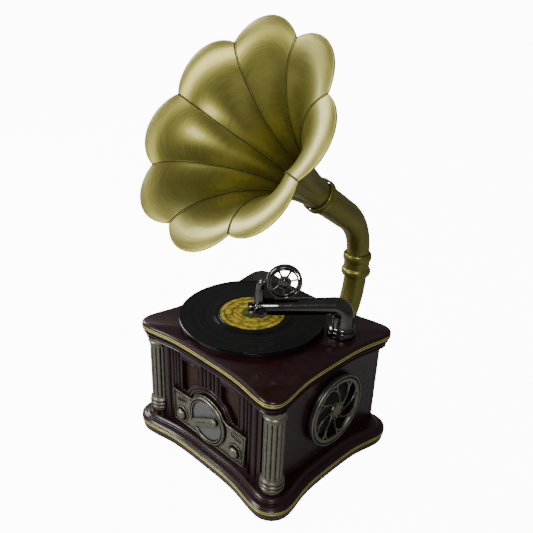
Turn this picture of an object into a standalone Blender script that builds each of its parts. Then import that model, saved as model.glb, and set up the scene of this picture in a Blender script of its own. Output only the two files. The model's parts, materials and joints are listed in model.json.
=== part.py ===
"""Tabletop horn loudspeaker: a small radio case styled as a gramophone.

The origin is the centre of the case's flat underside, +Z is up, the dial faces
-Y, the horn's neck rises behind the +Y side, and the tonearm stands at the back
right of the top board.  The dimensions are in millimetres; MM makes them metres.
"""
import math

import bpy
from mathutils import Matrix, Vector

MM = 0.001
GAP = 0.3                          # clearance between touching pieces
QUARTER = math.radians(90.0)

# ---------------------------------------------------------------- case
PLINTH_HALF = (99.2, 89.4)        # half width and half depth at the inlay lines
PLINTH_CORNER = 20.3
PLINTH_SAG = 7.0                   # how far each side curves in at its middle
PLINTH_LEDGE = 18.6                # top of the moulding round the seat of the walls
PLINTH_TOP = 20.6
BOARD_HALF = (90.9, 85.5)
BOARD_CORNER = 12.5
BOARD_SAG = 6.4
BOARD_BOTTOM = 114.6
BOARD_TOP = 124.6
CROWN_BOTTOM = 108.5
CROWN_TOP = BOARD_BOTTOM - GAP
WALL_X = 79.5                      # outer faces of the walls
WALL_BACK = 78.0
WALL_FRONT = -72.0
WALL_THICK = 5.0
NOTCH_X = 66.5                     # the front corners are notched for the columns
NOTCH_Y = -57.0
POST_WIDTH = 8.0
CASE_BOTTOM = PLINTH_TOP + GAP
CASE_TOP = CROWN_BOTTOM - GAP
COVER_HALF = (70.0, 62.0)
COVER_THICK = 2.4
FOOT_PLACE = (80.0, 71.0)
FOOT_RADIUS = 8.0
FOOT_DROP = 2.0

# ---------------------------------------------------------------- columns
COLUMN_PLACE = (78.4, -68.8)
COLUMN_RADIUS = 9.2
COLUMN_FLUTES = 12
COLUMN_SEGMENTS = 24
FLUTE_DEPTH = 0.9

# ---------------------------------------------------------------- front controls
WINDOW_INNER = 15.5
WINDOW_OUTER = 39.0
WINDOW_TOP = 99.5
WINDOW_SILL = 65.0
WINDOW_ARCH = 34.5                 # radius about the dial that rounds the inner sill
PLATE_HALF = 51.0
PLATE_BOTTOM = 26.0
PLATE_TOP = 62.0
PLATE_THICK = 2.0
DIAL_Z = 50.8
DIAL_RADIUS = 24.3
DIAL_RIM = 4.6
KNOB_X = 37.0
KNOB_Z = 37.7
KNOB_RADIUS = 5.6
SHAFT_RADIUS = 2.4
SHAFT_BACK = -9.0
CONTROL_SHAFTS = (("volume", -KNOB_X, KNOB_Z), ("mode", KNOB_X, KNOB_Z), ("tuning", 0.0, DIAL_Z))

# ---------------------------------------------------------------- side grilles
GRILLE_Y = 8.0
GRILLE_Z = 67.0
GRILLE_RADIUS = 36.0
GRILLE_PETALS = 8
GRILLE_SWIRL = math.radians(38.0)
GRILLE_FACE = 86.6                 # outer face, measured from the centre plane
GRILLE_THICK = 2.4
SPEAKER_HOLE = 31.0

# ---------------------------------------------------------------- turntable
SPIN_PLACE = (-16.0, -3.4)
SPINDLE_RADIUS = 3.0
RECORD_RADIUS = 70.5
RECORD_TOP = 131.2
LABEL_RADIUS = 31.0
PLATTER_RADIUS = 67.5

# ---------------------------------------------------------------- tonearm
ARM_PLACE = (59.3, 39.8)
ARM_HEADING = math.radians(-131.0)
ARM_LENGTH = 77.7                  # pivot of the arm to the hinge of the head
ARM_Z = 154.2
FLANGE_TOP = 130.5
ARM_RADIUS = 8.0
ARM_BEND = 10.5
RISER_RADIUS = 10.4
PIVOT_PIN = 4.5
HEAD_PIN = 3.0
FORK_SLOT = 5.6                    # half width of the slot that holds the head's knuckle
FORK_DEPTH = 13.0
SOUND_BOX_PLACE = (-20.9, 2.0, 26.3)   # from the head's hinge, in the arm's frame
SOUND_BOX_RADIUS = 16.4
SOUND_BOX_SPOKES = 7

# ---------------------------------------------------------------- horn
NECK_Y = 139.1
NECK_RADIUS = 12.3
NECK_WALL = 1.6
NECK_UPPER_BEND = 111.0
NECK_UPRIGHT_Z = 134.5             # the lower neck is upright from here
NECK_LEAN = math.radians(25.6)     # its lean where the upper bend meets the lower one
SOCKET_REACH = 9.0                 # straight run out of the back wall
COLLAR_BOTTOM = 133.0
COLLAR_TOP = 158.6
COLLAR_MIDDLE = 146.0
HORN_HEADING = math.radians(-92.9)
HORN_TILT = math.radians(34.5)
ELBOW_BEND = 58.3
AXES_MEET_Z = 189.5                # height where the neck's and the bell's axes cross
THROAT_AT = 84.4                   # from that crossing to the throat ring
THROAT_RADIUS = 15.1
BELL_LENGTH = 132.2
BELL_SEAM = 88.4                   # radius at the notches between the petals
BELL_PETAL = 101.4                 # radius at the petals' tips
BELL_PETALS = 8
BELL_TURN = math.radians(32.6)
BELL_WALL = 1.1
BELL_FLARE = 2.5
BELL_BULGE = 1.6
BELL_TIP = 3.7                     # the petals' tips stand this far in front of the notches
BELL_ROLL = 30.0                   # how strongly the lip rolls over towards the rim
BELL_ROLL_SEAM = 0.7               # share of that roll at the seams

# the neck's lower bend and its socket's height follow from where the tube must be upright
NECK_LOWER_BEND = ((NECK_Y - WALL_BACK - SOCKET_REACH
                    - NECK_UPPER_BEND * (1.0 - math.cos(NECK_LEAN))) / math.cos(NECK_LEAN))
NECK_SOCKET_Z = (NECK_UPRIGHT_Z - NECK_UPPER_BEND * math.sin(NECK_LEAN)
                 - NECK_LOWER_BEND * (1.0 - math.sin(NECK_LEAN)))
TERMINAL_PLACE = (-45.0, 44.0)

# ---------------------------------------------------------------- finishes
FINISHES = {
    "wine_wood": ((0.085, 0.018, 0.022), 0.25, 0.0),
    "brass_paint": ((0.42, 0.37, 0.10), 0.38, 0.85),
    "pewter": ((0.36, 0.34, 0.29), 0.35, 0.9),
    "dark_chrome": ((0.22, 0.21, 0.20), 0.16, 1.0),
    "black_plastic": ((0.02, 0.02, 0.02), 0.4, 0.0),
    "vinyl": ((0.012, 0.012, 0.012), 0.22, 0.0),
    "label_paper": ((0.62, 0.48, 0.12), 0.5, 0.0),
    "frosted_disc": ((0.42, 0.42, 0.42), 0.5, 0.0),
    "speaker_cloth": ((0.11, 0.055, 0.03), 0.9, 0.0),
    "rubber": ((0.03, 0.03, 0.03), 0.8, 0.0),
    "steel": ((0.5, 0.5, 0.5), 0.3, 1.0),
    "circuit_green": ((0.03, 0.16, 0.07), 0.5, 0.0),
    "paper_cone": ((0.06, 0.06, 0.06), 0.85, 0.0),
}


# ================================================================ helpers
def clear_scene():
    for item in list(bpy.data.objects):
        bpy.data.objects.remove(item, do_unlink=True)


def material(name):
    """One Principled material per finish, made on first use."""
    found = bpy.data.materials.get(name)
    if found:
        return found
    colour, roughness, metallic = FINISHES[name]
    made = bpy.data.materials.new(name)
    made.use_nodes = True
    shader = made.node_tree.nodes["Principled BSDF"]
    shader.inputs["Base Color"].default_value = (*colour, 1.0)
    shader.inputs["Roughness"].default_value = roughness
    shader.inputs["Metallic"].default_value = metallic
    made.diffuse_color = (*colour, 1.0)
    return made


def make_object(name, verts, faces, finish, parent=None, smooth=40.0):
    """A mesh object from millimetre vertices; smooth is the sharp-edge angle."""
    mesh = bpy.data.meshes.new(name)
    mesh.from_pydata([(x * MM, y * MM, z * MM) for x, y, z in verts], [], faces)
    mesh.update()
    piece = bpy.data.objects.new(name, mesh)
    bpy.context.scene.collection.objects.link(piece)
    if finish:
        mesh.materials.append(material(finish))
    if smooth:
        mesh.shade_smooth()
        mesh.set_sharp_from_angle(angle=math.radians(smooth))
    if parent:
        piece.parent = parent
    return piece


def make_empty(name, place, turn=(0.0, 0.0, 0.0), parent=None):
    marker = bpy.data.objects.new(name, None)
    bpy.context.scene.collection.objects.link(marker)
    if parent:
        marker.parent = parent
    return move(marker, place, turn)


def move(piece, place, turn=(0.0, 0.0, 0.0)):
    piece.location = [value * MM for value in place]
    piece.rotation_euler = turn
    return piece


def combine(piece, other, operation="DIFFERENCE"):
    """Cut the other solid out of the piece, or weld it on, with a live Boolean."""
    other.hide_render = True
    other.display_type = "WIRE"
    step = piece.modifiers.new(other.name, "BOOLEAN")
    step.operation = operation
    step.solver = "EXACT"
    step.object = other
    return piece


def stack(rings, closed_ends=True):
    """Vertices and faces through equal rings of points.

    Rings run counter-clockwise seen from the end they are stacked towards.
    Without closed ends the last ring joins the first, as round a bored tube.
    """
    count = len(rings[0])
    verts = [point for ring in rings for point in ring]
    faces = []
    levels = len(rings)
    for level in range(levels if not closed_ends else levels - 1):
        low = level * count
        high = (level + 1) % levels * count
        for i in range(count):
            j = (i + 1) % count
            faces.append((low + i, low + j, high + j, high + i))
    if closed_ends:
        faces.append(tuple(reversed(range(count))))
        faces.append(tuple(range(len(verts) - count, len(verts))))
    return verts, faces


def turned(name, profile, finish, segments=32, parent=None, hollow=False):
    """A solid of revolution about Z from (radius, height) pairs.

    The profile runs up the outer side; a hollow piece's profile is a loop that
    goes on across the top and down the bore.
    """
    rings = []
    for radius, height in profile:
        angles = [2.0 * math.pi * i / segments for i in range(segments)]
        rings.append([(radius * math.cos(a), radius * math.sin(a), height) for a in angles])
    verts, faces = stack(rings, closed_ends=not hollow)
    return make_object(name, verts, faces, finish, parent)


def prism(name, outline, low, high, finish, parent=None, smooth=40.0):
    """A counter-clockwise outline in XY raised from low to high."""
    verts, faces = stack([[(x, y, z) for x, y in outline] for z in (low, high)])
    return make_object(name, verts, faces, finish, parent, smooth)


def block(name, low, high, finish, parent=None):
    """A box between two corners."""
    outline = [(low[0], low[1]), (high[0], low[1]), (high[0], high[1]), (low[0], high[1])]
    return prism(name, outline, low[2], high[2], finish, parent, smooth=0.0)


def bore(name, radius, low, high, place, turn=(0.0, 0.0, 0.0), parent=None):
    """A round cutter along its own Z."""
    return move(turned(name, [(radius, low), (radius, high)], None, 28, parent), place, turn)


def bowed_outline(half, corner, sag, inset, side_steps=8, corner_steps=4):
    """Counter-clockwise outline with round corners and sides that curve in.

    Each side dips by half a cosine wave, level at both of its corners.
    """
    reach = (half[0] - inset, half[1] - inset)
    radius = max(corner - 0.6 * inset, 2.0)
    points = []
    for quarter, (sign_x, sign_y) in enumerate(((1, -1), (1, 1), (-1, 1), (-1, -1))):
        start = QUARTER * (quarter - 1)
        centre = (sign_x * (reach[0] - radius), sign_y * (reach[1] - radius))
        for step in range(corner_steps + 1):
            angle = start + QUARTER * step / corner_steps
            points.append((centre[0] + radius * math.cos(angle),
                           centre[1] + radius * math.sin(angle)))
        across = quarter % 2
        run = reach[1 - across] - radius
        out = reach[across]
        for step in range(1, side_steps):
            share = -1.0 + 2.0 * step / side_steps
            depth = out - sag * 0.5 * (1.0 + math.cos(math.pi * share * share))
            side_point = Vector((depth, run * share))
            side_point.rotate(Matrix.Rotation(QUARTER * quarter, 2))
            points.append(tuple(side_point))
    return points


def moulding(name, half, corner, sag, rows, finish):
    """A bowed slab whose edge follows rows of (height, inset)."""
    rings = []
    for height, inset in rows:
        rings.append([(x, y, height) for x, y in bowed_outline(half, corner, sag, inset)])
    verts, faces = stack(rings)
    return make_object(name, verts, faces, finish)


def tube_rings(path, radii, segments):
    """Rings square to a path, carried along it without twist."""
    along = (path[1] - path[0]).normalized()
    side = along.orthogonal().normalized()
    rings = []
    for index, point in enumerate(path):
        ahead = path[min(index + 1, len(path) - 1)]
        behind = path[max(index - 1, 0)]
        heading = (ahead - behind).normalized()
        side.rotate(along.rotation_difference(heading))
        along = heading
        across = along.cross(side)
        ring = []
        for i in range(segments):
            angle = 2.0 * math.pi * i / segments
            ring.append(tuple(point + radii[index] * (side * math.cos(angle)
                                                      + across * math.sin(angle))))
        rings.append(ring)
    return rings


def pipe(name, path, radii, finish, segments, parent=None, wall=0.0):
    """A round bar along a path, or a bored tube when a wall thickness is given."""
    rings = tube_rings(path, radii, segments)
    if wall:
        rings += tube_rings(path, [radius - wall for radius in radii], segments)[::-1]
    verts, faces = stack(rings, closed_ends=not wall)
    return make_object(name, verts, faces, finish, parent)


def arc(centre, first, second, start, end, steps):
    """Points centre + first*cos + second*sin from one angle to another."""
    angles = [start + (end - start) * step / steps for step in range(steps + 1)]
    return [centre + first * math.cos(a) + second * math.sin(a) for a in angles]


# ================================================================ case
def build_plinth():
    """Moulded base with two inlay beads, its bottom cover and four rubber feet.

    A low seat under the walls and a round one under each column rise from the ledge.
    """
    rows = [(0.0, 2.2), (4.6, 1.2), (7.8, 0.5), (8.3, 0.1), (9.5, 0.1), (9.9, 0.7),
            (10.3, 0.1), (11.5, 0.1), (12.6, 0.5), (14.0, 1.9), (15.6, 6.4), (17.2, 7.2),
            (PLINTH_LEDGE, 9.2)]
    plinth = moulding("plinth", PLINTH_HALF, PLINTH_CORNER, PLINTH_SAG, rows, "wine_wood")
    lip = 0.4
    combine(plinth, block("weld_wall_seat", (-WALL_X - lip, WALL_FRONT - lip, 12.0),
                          (WALL_X + lip, WALL_BACK + lip, PLINTH_TOP), None), "UNION")
    for side, name in ((-1, "left"), (1, "right")):
        seat = turned(f"weld_column_seat_{name}", [(10.4, 12.0), (10.4, PLINTH_TOP)], None, 24)
        combine(plinth, move(seat, (side * COLUMN_PLACE[0], COLUMN_PLACE[1], 0.0)), "UNION")
    rim = 5.0
    half_x, half_y = COVER_HALF
    combine(plinth, block("cutter_plinth_well", (rim - half_x, rim - half_y, -5.0),
                          (half_x - rim, half_y - rim, PLINTH_TOP + 5.0), None))
    combine(plinth, block("cutter_cover_seat", (-half_x - GAP, -half_y - GAP, -5.0),
                          (half_x + GAP, half_y + GAP, COVER_THICK + GAP), None))
    block("bottom_cover", (-half_x, -half_y, 0.0), (half_x, half_y, COVER_THICK),
          "black_plastic")
    profile = [(FOOT_RADIUS - 1.0, -FOOT_DROP), (FOOT_RADIUS, 0.6 - FOOT_DROP),
               (FOOT_RADIUS, -GAP)]
    for index, (side, end) in enumerate(((-1, -1), (1, -1), (1, 1), (-1, 1))):
        foot = turned(f"rubber_foot_{index + 1}", profile, "rubber", 24)
        move(foot, (side * FOOT_PLACE[0], end * FOOT_PLACE[1], 0.0))


def build_walls():
    """Side walls that turn in behind the columns, the back wall and the front baffle."""
    front_end = NOTCH_Y + GAP
    back_end = WALL_BACK - WALL_THICK - GAP
    inner = WALL_X - WALL_THICK
    post = NOTCH_X - POST_WIDTH
    plan = [(post, front_end), (WALL_X, front_end), (WALL_X, back_end), (inner, back_end),
            (inner, front_end + WALL_THICK), (post, front_end + WALL_THICK)]
    for side, name in ((-1, "left"), (1, "right")):
        outline = [(side * x, y) for x, y in plan[::side]]
        wall = prism(f"{name}_wall", outline, CASE_BOTTOM, CASE_TOP, "wine_wood", smooth=0.0)
        combine(wall, bore(f"cutter_{name}_speaker_hole", SPEAKER_HOLE, -10.0, 10.0,
                           (side * WALL_X, GRILLE_Y, GRILLE_Z), (0.0, QUARTER, 0.0)))
    back = block("back_wall", (-WALL_X, WALL_BACK - WALL_THICK, CASE_BOTTOM),
                 (WALL_X, WALL_BACK, CASE_TOP), "wine_wood")
    combine(back, bore("cutter_neck_hole", 9.0, -20.0, 20.0, (0.0, WALL_BACK, NECK_SOCKET_Z),
                       (QUARTER, 0.0, 0.0)))
    panel_x, panel_z = TERMINAL_PLACE
    combine(back, block("cutter_panel_hole", (panel_x - 14.0, 60.0, panel_z - 6.0),
                        (panel_x + 14.0, 90.0, panel_z + 6.0), None))
    build_baffle(post)


def window_outline(side, grow):
    """Window in X and Z whose sill follows an arch about the dial, then runs level."""
    inner = WINDOW_INNER - grow
    outer = WINDOW_OUTER + grow
    sill = WINDOW_SILL - grow
    arch = WINDOW_ARCH - grow
    start = math.acos(inner / arch)
    end = math.asin((sill - DIAL_Z) / arch)
    steps = 5
    points = []
    for step in range(steps + 1):
        angle = start + (end - start) * step / steps
        points.append((arch * math.cos(angle), DIAL_Z + arch * math.sin(angle)))
    points += [(outer, sill), (outer, WINDOW_TOP + 0.5 * grow),
               (inner, WINDOW_TOP + 0.5 * grow)]
    ordered = [(side * x, z) for x, z in points]
    return ordered if side < 0 else ordered[::-1]


def build_baffle(post):
    """Front baffle with posts beside the columns and two cloth windows."""
    rear = WALL_FRONT + WALL_THICK
    plan = [(-NOTCH_X, WALL_FRONT), (NOTCH_X, WALL_FRONT), (NOTCH_X, NOTCH_Y),
            (post, NOTCH_Y), (post, rear), (-post, rear), (-post, NOTCH_Y),
            (-NOTCH_X, NOTCH_Y)]
    baffle = prism("front_baffle", plan, CASE_BOTTOM, CASE_TOP, "wine_wood", smooth=0.0)
    facing = (-QUARTER, 0.0, 0.0)
    for side, name in ((-1, "left"), (1, "right")):
        hole = [(x, -z) for x, z in window_outline(side, 0.0)]
        cutter = prism(f"cutter_{name}_window", hole, -20.0, 20.0, None, smooth=0.0)
        combine(baffle, move(cutter, (0.0, WALL_FRONT, 0.0), facing))
        sheet = [(x, -z) for x, z in window_outline(side, 3.0)]
        cloth = prism(f"speaker_cloth_{name}", sheet, 0.0, 1.0, "speaker_cloth", smooth=0.0)
        move(cloth, (0.0, rear + GAP, 0.0), facing)
    for name, x, z in CONTROL_SHAFTS:
        combine(baffle, bore(f"cutter_baffle_{name}", SHAFT_RADIUS + 0.5, -20.0, 20.0,
                             (x, WALL_FRONT, z), facing))


def build_columns():
    """Two turned corner columns with fluted shafts."""
    low = CASE_BOTTOM
    top = CASE_TOP
    rows = [(low, 9.6), (low + 2.6, 9.6), (low + 3.6, 11.3), (low + 5.8, 11.3),
            (low + 6.8, 10.2), (low + 7.8, 11.2), (low + 9.4, 11.2), (low + 10.6, 10.0),
            (low + 12.8, 10.8), (low + 13.8, 9.6), (low + 17.6, COLUMN_RADIUS),
            (top - 10.0, COLUMN_RADIUS), (top - 6.6, 9.3), (top - 6.0, 10.4),
            (top - 4.4, 10.4), (top - 3.6, 9.4), (top, 9.4)]
    rings = []
    for height, radius in rows:
        depth = FLUTE_DEPTH if radius == COLUMN_RADIUS else 0.0
        ring = []
        for i in range(COLUMN_SEGMENTS):
            angle = 2.0 * math.pi * i / COLUMN_SEGMENTS
            reach = radius - depth * (0.5 - 0.5 * math.cos(angle * COLUMN_FLUTES))
            ring.append((reach * math.cos(angle), reach * math.sin(angle), height))
        rings.append(ring)
    verts, faces = stack(rings)
    for side, name in ((-1, "left"), (1, "right")):
        column = make_object(f"corner_column_{name}", verts, faces, "pewter")
        move(column, (side * COLUMN_PLACE[0], COLUMN_PLACE[1], 0.0))


def build_top():
    """The crown moulding, and the top board with its two inlay beads."""
    rows = [(CROWN_BOTTOM, 3.4), (109.5, 3.2), (110.0, 4.7), (111.0, 4.7), (112.6, 2.9),
            (113.3, 1.9), (CROWN_TOP, 1.7)]
    crown = moulding("crown_moulding", BOARD_HALF, BOARD_CORNER, BOARD_SAG, rows, "wine_wood")
    combine(crown, block("cutter_crown_opening", (-72.0, -64.0, 90.0), (72.0, 71.0, 130.0),
                         None))
    rows = [(BOARD_BOTTOM, 2.6), (116.2, 1.8), (118.0, 0.5), (118.5, 0.1), (119.7, 0.1),
            (120.1, 0.7), (120.5, 0.1), (121.7, 0.1), (122.4, 0.5), (123.6, 1.0),
            (BOARD_TOP, 2.4)]
    board = moulding("top_board", BOARD_HALF, BOARD_CORNER, BOARD_SAG, rows, "wine_wood")
    combine(board, bore("cutter_spindle_hole", SPINDLE_RADIUS + 0.6, 100.0, 140.0,
                        (*SPIN_PLACE, 0.0)))
    combine(board, bore("cutter_arm_hole", PIVOT_PIN + 0.6, 100.0, 140.0, (*ARM_PLACE, 0.0)))


# ================================================================ front controls
def plate_outline():
    """Winged plate in X and Z: tall outer ends, wings that dip, and a round arch."""
    shoulder = math.radians(30.0)
    rim = DIAL_RADIUS + 1.4
    points = [(2.0 - PLATE_HALF, PLATE_BOTTOM), (PLATE_HALF - 2.0, PLATE_BOTTOM),
              (PLATE_HALF, PLATE_TOP)]
    steps = 14
    for step in range(steps + 1):
        angle = shoulder + (math.pi - 2.0 * shoulder) * step / steps
        points.append((rim * math.cos(angle), DIAL_Z + rim * math.sin(angle)))
        if step == 0:
            points.insert(3, (points[3][0] + 5.0, points[3][1] - 2.0))
        if step == steps:
            points.append((points[-1][0] - 5.0, points[-1][1] - 2.0))
    points.append((-PLATE_HALF, PLATE_TOP))
    return points


def build_controls():
    """Plate, dial ring, dial disc, the tuning bar and two small knobs, all facing -Y."""
    facing = (QUARTER, 0.0, 0.0)
    base_y = WALL_FRONT - GAP
    plate = prism("control_plate", plate_outline(), 0.0, PLATE_THICK, "pewter", smooth=20.0)
    move(plate, (0.0, base_y, 0.0), facing)
    for name, x, z in CONTROL_SHAFTS:
        combine(plate, bore(f"cutter_plate_{name}", SHAFT_RADIUS + GAP, -20.0, 20.0,
                            (x, base_y, z), facing))
    front = PLATE_THICK + GAP
    dial = make_empty("dial_axis", (0.0, base_y, DIAL_Z), facing)
    edge = DIAL_RADIUS - DIAL_RIM
    turned("dial_ring", [(edge, front), (DIAL_RADIUS, front), (DIAL_RADIUS, front + 1.6),
                         (DIAL_RADIUS - 1.0, front + 2.6), (DIAL_RADIUS - 2.2, front + 2.2),
                         (DIAL_RADIUS - 3.2, front + 2.9), (edge, front + 2.4)],
           "pewter", 36, dial, hollow=True)
    hole = SHAFT_RADIUS + GAP
    turned("dial_disc", [(hole, front), (edge - GAP, front), (edge - GAP, front + 1.2),
                         (hole, front + 1.4)], "frosted_disc", 36, dial, hollow=True)
    build_tuning_knob(dial, front + 1.4 + GAP)
    for name, side in (("volume_knob", -1), ("mode_knob", 1)):
        pivot = make_empty(name + "_axis", (side * KNOB_X, base_y, KNOB_Z), facing)
        turned(name, [(SHAFT_RADIUS, SHAFT_BACK), (SHAFT_RADIUS, front), (KNOB_RADIUS, front),
                      (KNOB_RADIUS, front + 1.4), (KNOB_RADIUS - 0.6, front + 2.6),
                      (KNOB_RADIUS - 2.0, front + 4.0), (1.2, front + 5.0)],
               "pewter", 20, pivot)


def build_tuning_knob(dial, low):
    """A bar grip across the disc, with round ends and a shaft to the tuner."""
    half = DIAL_RADIUS - DIAL_RIM - 1.0
    width = 4.0
    outline = []
    for end in (0, 1):
        for step in range(7):
            angle = -QUARTER + math.pi * end + math.pi * step / 6
            shift = (half - width) * (1 - 2 * end)
            outline.append((shift + width * math.cos(angle), width * math.sin(angle)))
    knob = prism("tuning_knob", outline, low, low + 4.4, "pewter", dial)
    knob.rotation_euler = (0.0, 0.0, math.radians(28.0))
    combine(knob, bore("weld_tuning_shaft", SHAFT_RADIUS, SHAFT_BACK, low + 1.0,
                       (0.0, 0.0, 0.0), parent=dial), "UNION")


# ================================================================ sides
def petal_cutter(name, parent):
    """Eight swirled petal openings and the small holes between their outer ends."""
    pitch = 2.0 * math.pi / GRILLE_PETALS
    inner = 9.5
    outer = GRILLE_RADIUS - 6.4
    steps = 4
    outlines = []
    for petal in range(GRILLE_PETALS):
        right = []
        left = []
        for step in range(steps + 1):
            share = step / steps
            radius = inner + (outer - inner) * share
            middle = pitch * petal + GRILLE_SWIRL * share ** 0.8
            half = pitch * (0.14 + 0.20 * math.sin(math.pi * (0.10 + 0.80 * share)))
            right.append((radius * math.cos(middle - half), radius * math.sin(middle - half)))
            left.append((radius * math.cos(middle + half), radius * math.sin(middle + half)))
        outlines.append(right + left[::-1])
        spot = pitch * (petal + 0.5) + GRILLE_SWIRL
        corners = ((outer - 3.6, 0.0), (outer + 0.8, -0.07), (outer + 0.8, 0.07))
        outlines.append([(r * math.cos(spot + a), r * math.sin(spot + a)) for r, a in corners])
    verts = []
    faces = []
    for outline in outlines:
        part, sides = stack([[(x, y, z) for x, y in outline] for z in (70.0, 100.0)])
        base = len(verts)
        verts.extend(part)
        faces.extend(tuple(base + i for i in side) for side in sides)
    return make_object(name, verts, faces, None, parent, smooth=0.0)


def build_sides():
    """On each side wall: a black housing ring, a pewter grille and the driver behind it."""
    for side, name in ((-1, "left"), (1, "right")):
        frame = make_empty(f"{name}_grille_frame", (0.0, GRILLE_Y, GRILLE_Z),
                           (0.0, QUARTER * side, 0.0))
        seat = WALL_X + GAP
        lip = GRILLE_FACE - GRILLE_THICK - GAP
        radius = GRILLE_RADIUS
        turned(f"grille_housing_{name}",
               [(SPEAKER_HOLE, seat), (radius - 0.8, seat), (radius - 0.8, lip),
                (SPEAKER_HOLE, lip)], "black_plastic", 32, frame, hollow=True)
        face = GRILLE_FACE
        grille = turned(f"side_grille_{name}",
                        [(radius, lip + GAP), (radius, face - 1.0), (radius - 1.2, face),
                         (radius - 2.4, face - 0.6), (9.0, face - 0.4), (8.0, face + 0.2)],
                        "pewter", 32, frame)
        combine(grille, petal_cutter(f"cutter_petals_{name}", frame))
        back = WALL_X - WALL_THICK - GAP
        turned(f"speaker_driver_{name}",
               [(15.0, back - 24.0), (15.0, back - 13.0), (30.0, back - 3.0),
                (35.5, back - 3.0), (35.5, back), (28.0, back), (9.0, back - 9.0),
                (5.0, back - 7.5)], "paper_cone", 24, frame)


# ================================================================ inside and back
def build_inside():
    """Circuit board on its four legs, the platter's motor and the horn's driver."""
    low = COVER_THICK + GAP
    deck = PLINTH_TOP + 4.0
    board = block("circuit_board", (-34.0, -30.0, deck), (34.0, 22.0, deck + 1.6),
                  "circuit_green")
    parts = ((-20.0, -14.0, 7.0, 7.0, 9.0), (-2.0, -16.0, 5.0, 5.0, 12.0),
             (16.0, -12.0, 9.0, 6.0, 5.0), (6.0, 8.0, 12.0, 5.0, 7.0))
    for index, (x, y, wide, deep, tall) in enumerate(parts):
        combine(board, block(f"weld_board_part_{index + 1}", (x - wide, y - deep, deck + 1.0),
                             (x + wide, y + deep, deck + tall), None), "UNION")
    for index, (x, y) in enumerate(((-29.0, -25.0), (29.0, -25.0), (29.0, 17.0), (-29.0, 17.0))):
        combine(board, block(f"weld_board_leg_{index + 1}", (x - 2.5, y - 2.5, low),
                             (x + 2.5, y + 2.5, deck + 1.0), None), "UNION")
    top = BOARD_BOTTOM - GAP
    hole = SPINDLE_RADIUS + 0.6
    motor = turned("platter_motor", [(14.0, 96.0), (14.0, 112.0), (16.5, 112.4),
                                     (16.5, top), (hole, top), (hole, 104.0)], "steel", 24)
    move(motor, (*SPIN_PLACE, 0.0))
    inward = make_empty("horn_driver_frame", (0.0, WALL_BACK - WALL_THICK - GAP, NECK_SOCKET_Z),
                        (-QUARTER, 0.0, 0.0))
    turned("horn_driver", [(15.0, -20.0), (15.0, -8.0), (18.0, -7.0), (18.0, 0.0),
                           (11.0, 0.0), (10.0, -2.5), (3.0, -4.5)], "steel", 24, inward)


def build_back():
    """Terminal panel with two jacks, and the four screws of the back wall."""
    panel_x, panel_z = TERMINAL_PLACE
    panel = block("terminal_panel", (panel_x - 20.0, WALL_BACK + GAP, panel_z - 11.0),
                  (panel_x + 20.0, WALL_BACK + 2.3, panel_z + 11.0), "black_plastic")
    for name, shift, radius in (("power", -8.0, 2.7), ("sound", 6.0, 1.8)):
        combine(panel, bore(f"cutter_{name}_jack", radius, -10.0, 10.0,
                            (panel_x + shift, WALL_BACK, panel_z), (QUARTER, 0.0, 0.0)))
    for index, (x, z) in enumerate(((-70.0, 34.0), (70.0, 34.0), (70.0, 94.0), (-70.0, 94.0))):
        screw = turned(f"back_screw_{index + 1}", [(3.2, GAP), (3.2, 0.8), (1.8, 1.9)],
                       "steel", 16)
        move(screw, (x, WALL_BACK, z), (-QUARTER, 0.0, 0.0))


# ================================================================ turntable
def build_turntable():
    """Platter, record, paper label and spindle on one upright axis."""
    pivot = make_empty("spindle_axis", (*SPIN_PLACE, 0.0))
    low = BOARD_TOP + 0.6
    seat = RECORD_TOP - 2.1
    hole = SPINDLE_RADIUS + GAP
    turned("platter", [(hole, low), (PLATTER_RADIUS - 1.0, low), (PLATTER_RADIUS, low + 0.5),
                       (PLATTER_RADIUS, seat), (hole, seat)],
           "black_plastic", 48, pivot, hollow=True)
    under = seat + GAP
    top = RECORD_TOP
    turned("record", [(hole, under), (RECORD_RADIUS - 1.2, under),
                      (RECORD_RADIUS, under + 0.6), (RECORD_RADIUS, top - 0.5),
                      (RECORD_RADIUS - 1.0, top), (hole, top)],
           "vinyl", 48, pivot, hollow=True)
    top += GAP
    turned("record_label", [(hole, top), (LABEL_RADIUS, top), (LABEL_RADIUS, top + 0.25),
                            (hole, top + 0.25)], "label_paper", 40, pivot, hollow=True)
    turned("spindle", [(SPINDLE_RADIUS, 106.0), (SPINDLE_RADIUS, top + 1.3),
                       (SPINDLE_RADIUS - 0.8, top + 2.5), (0.8, top + 3.1)],
           "steel", 20, pivot)


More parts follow.
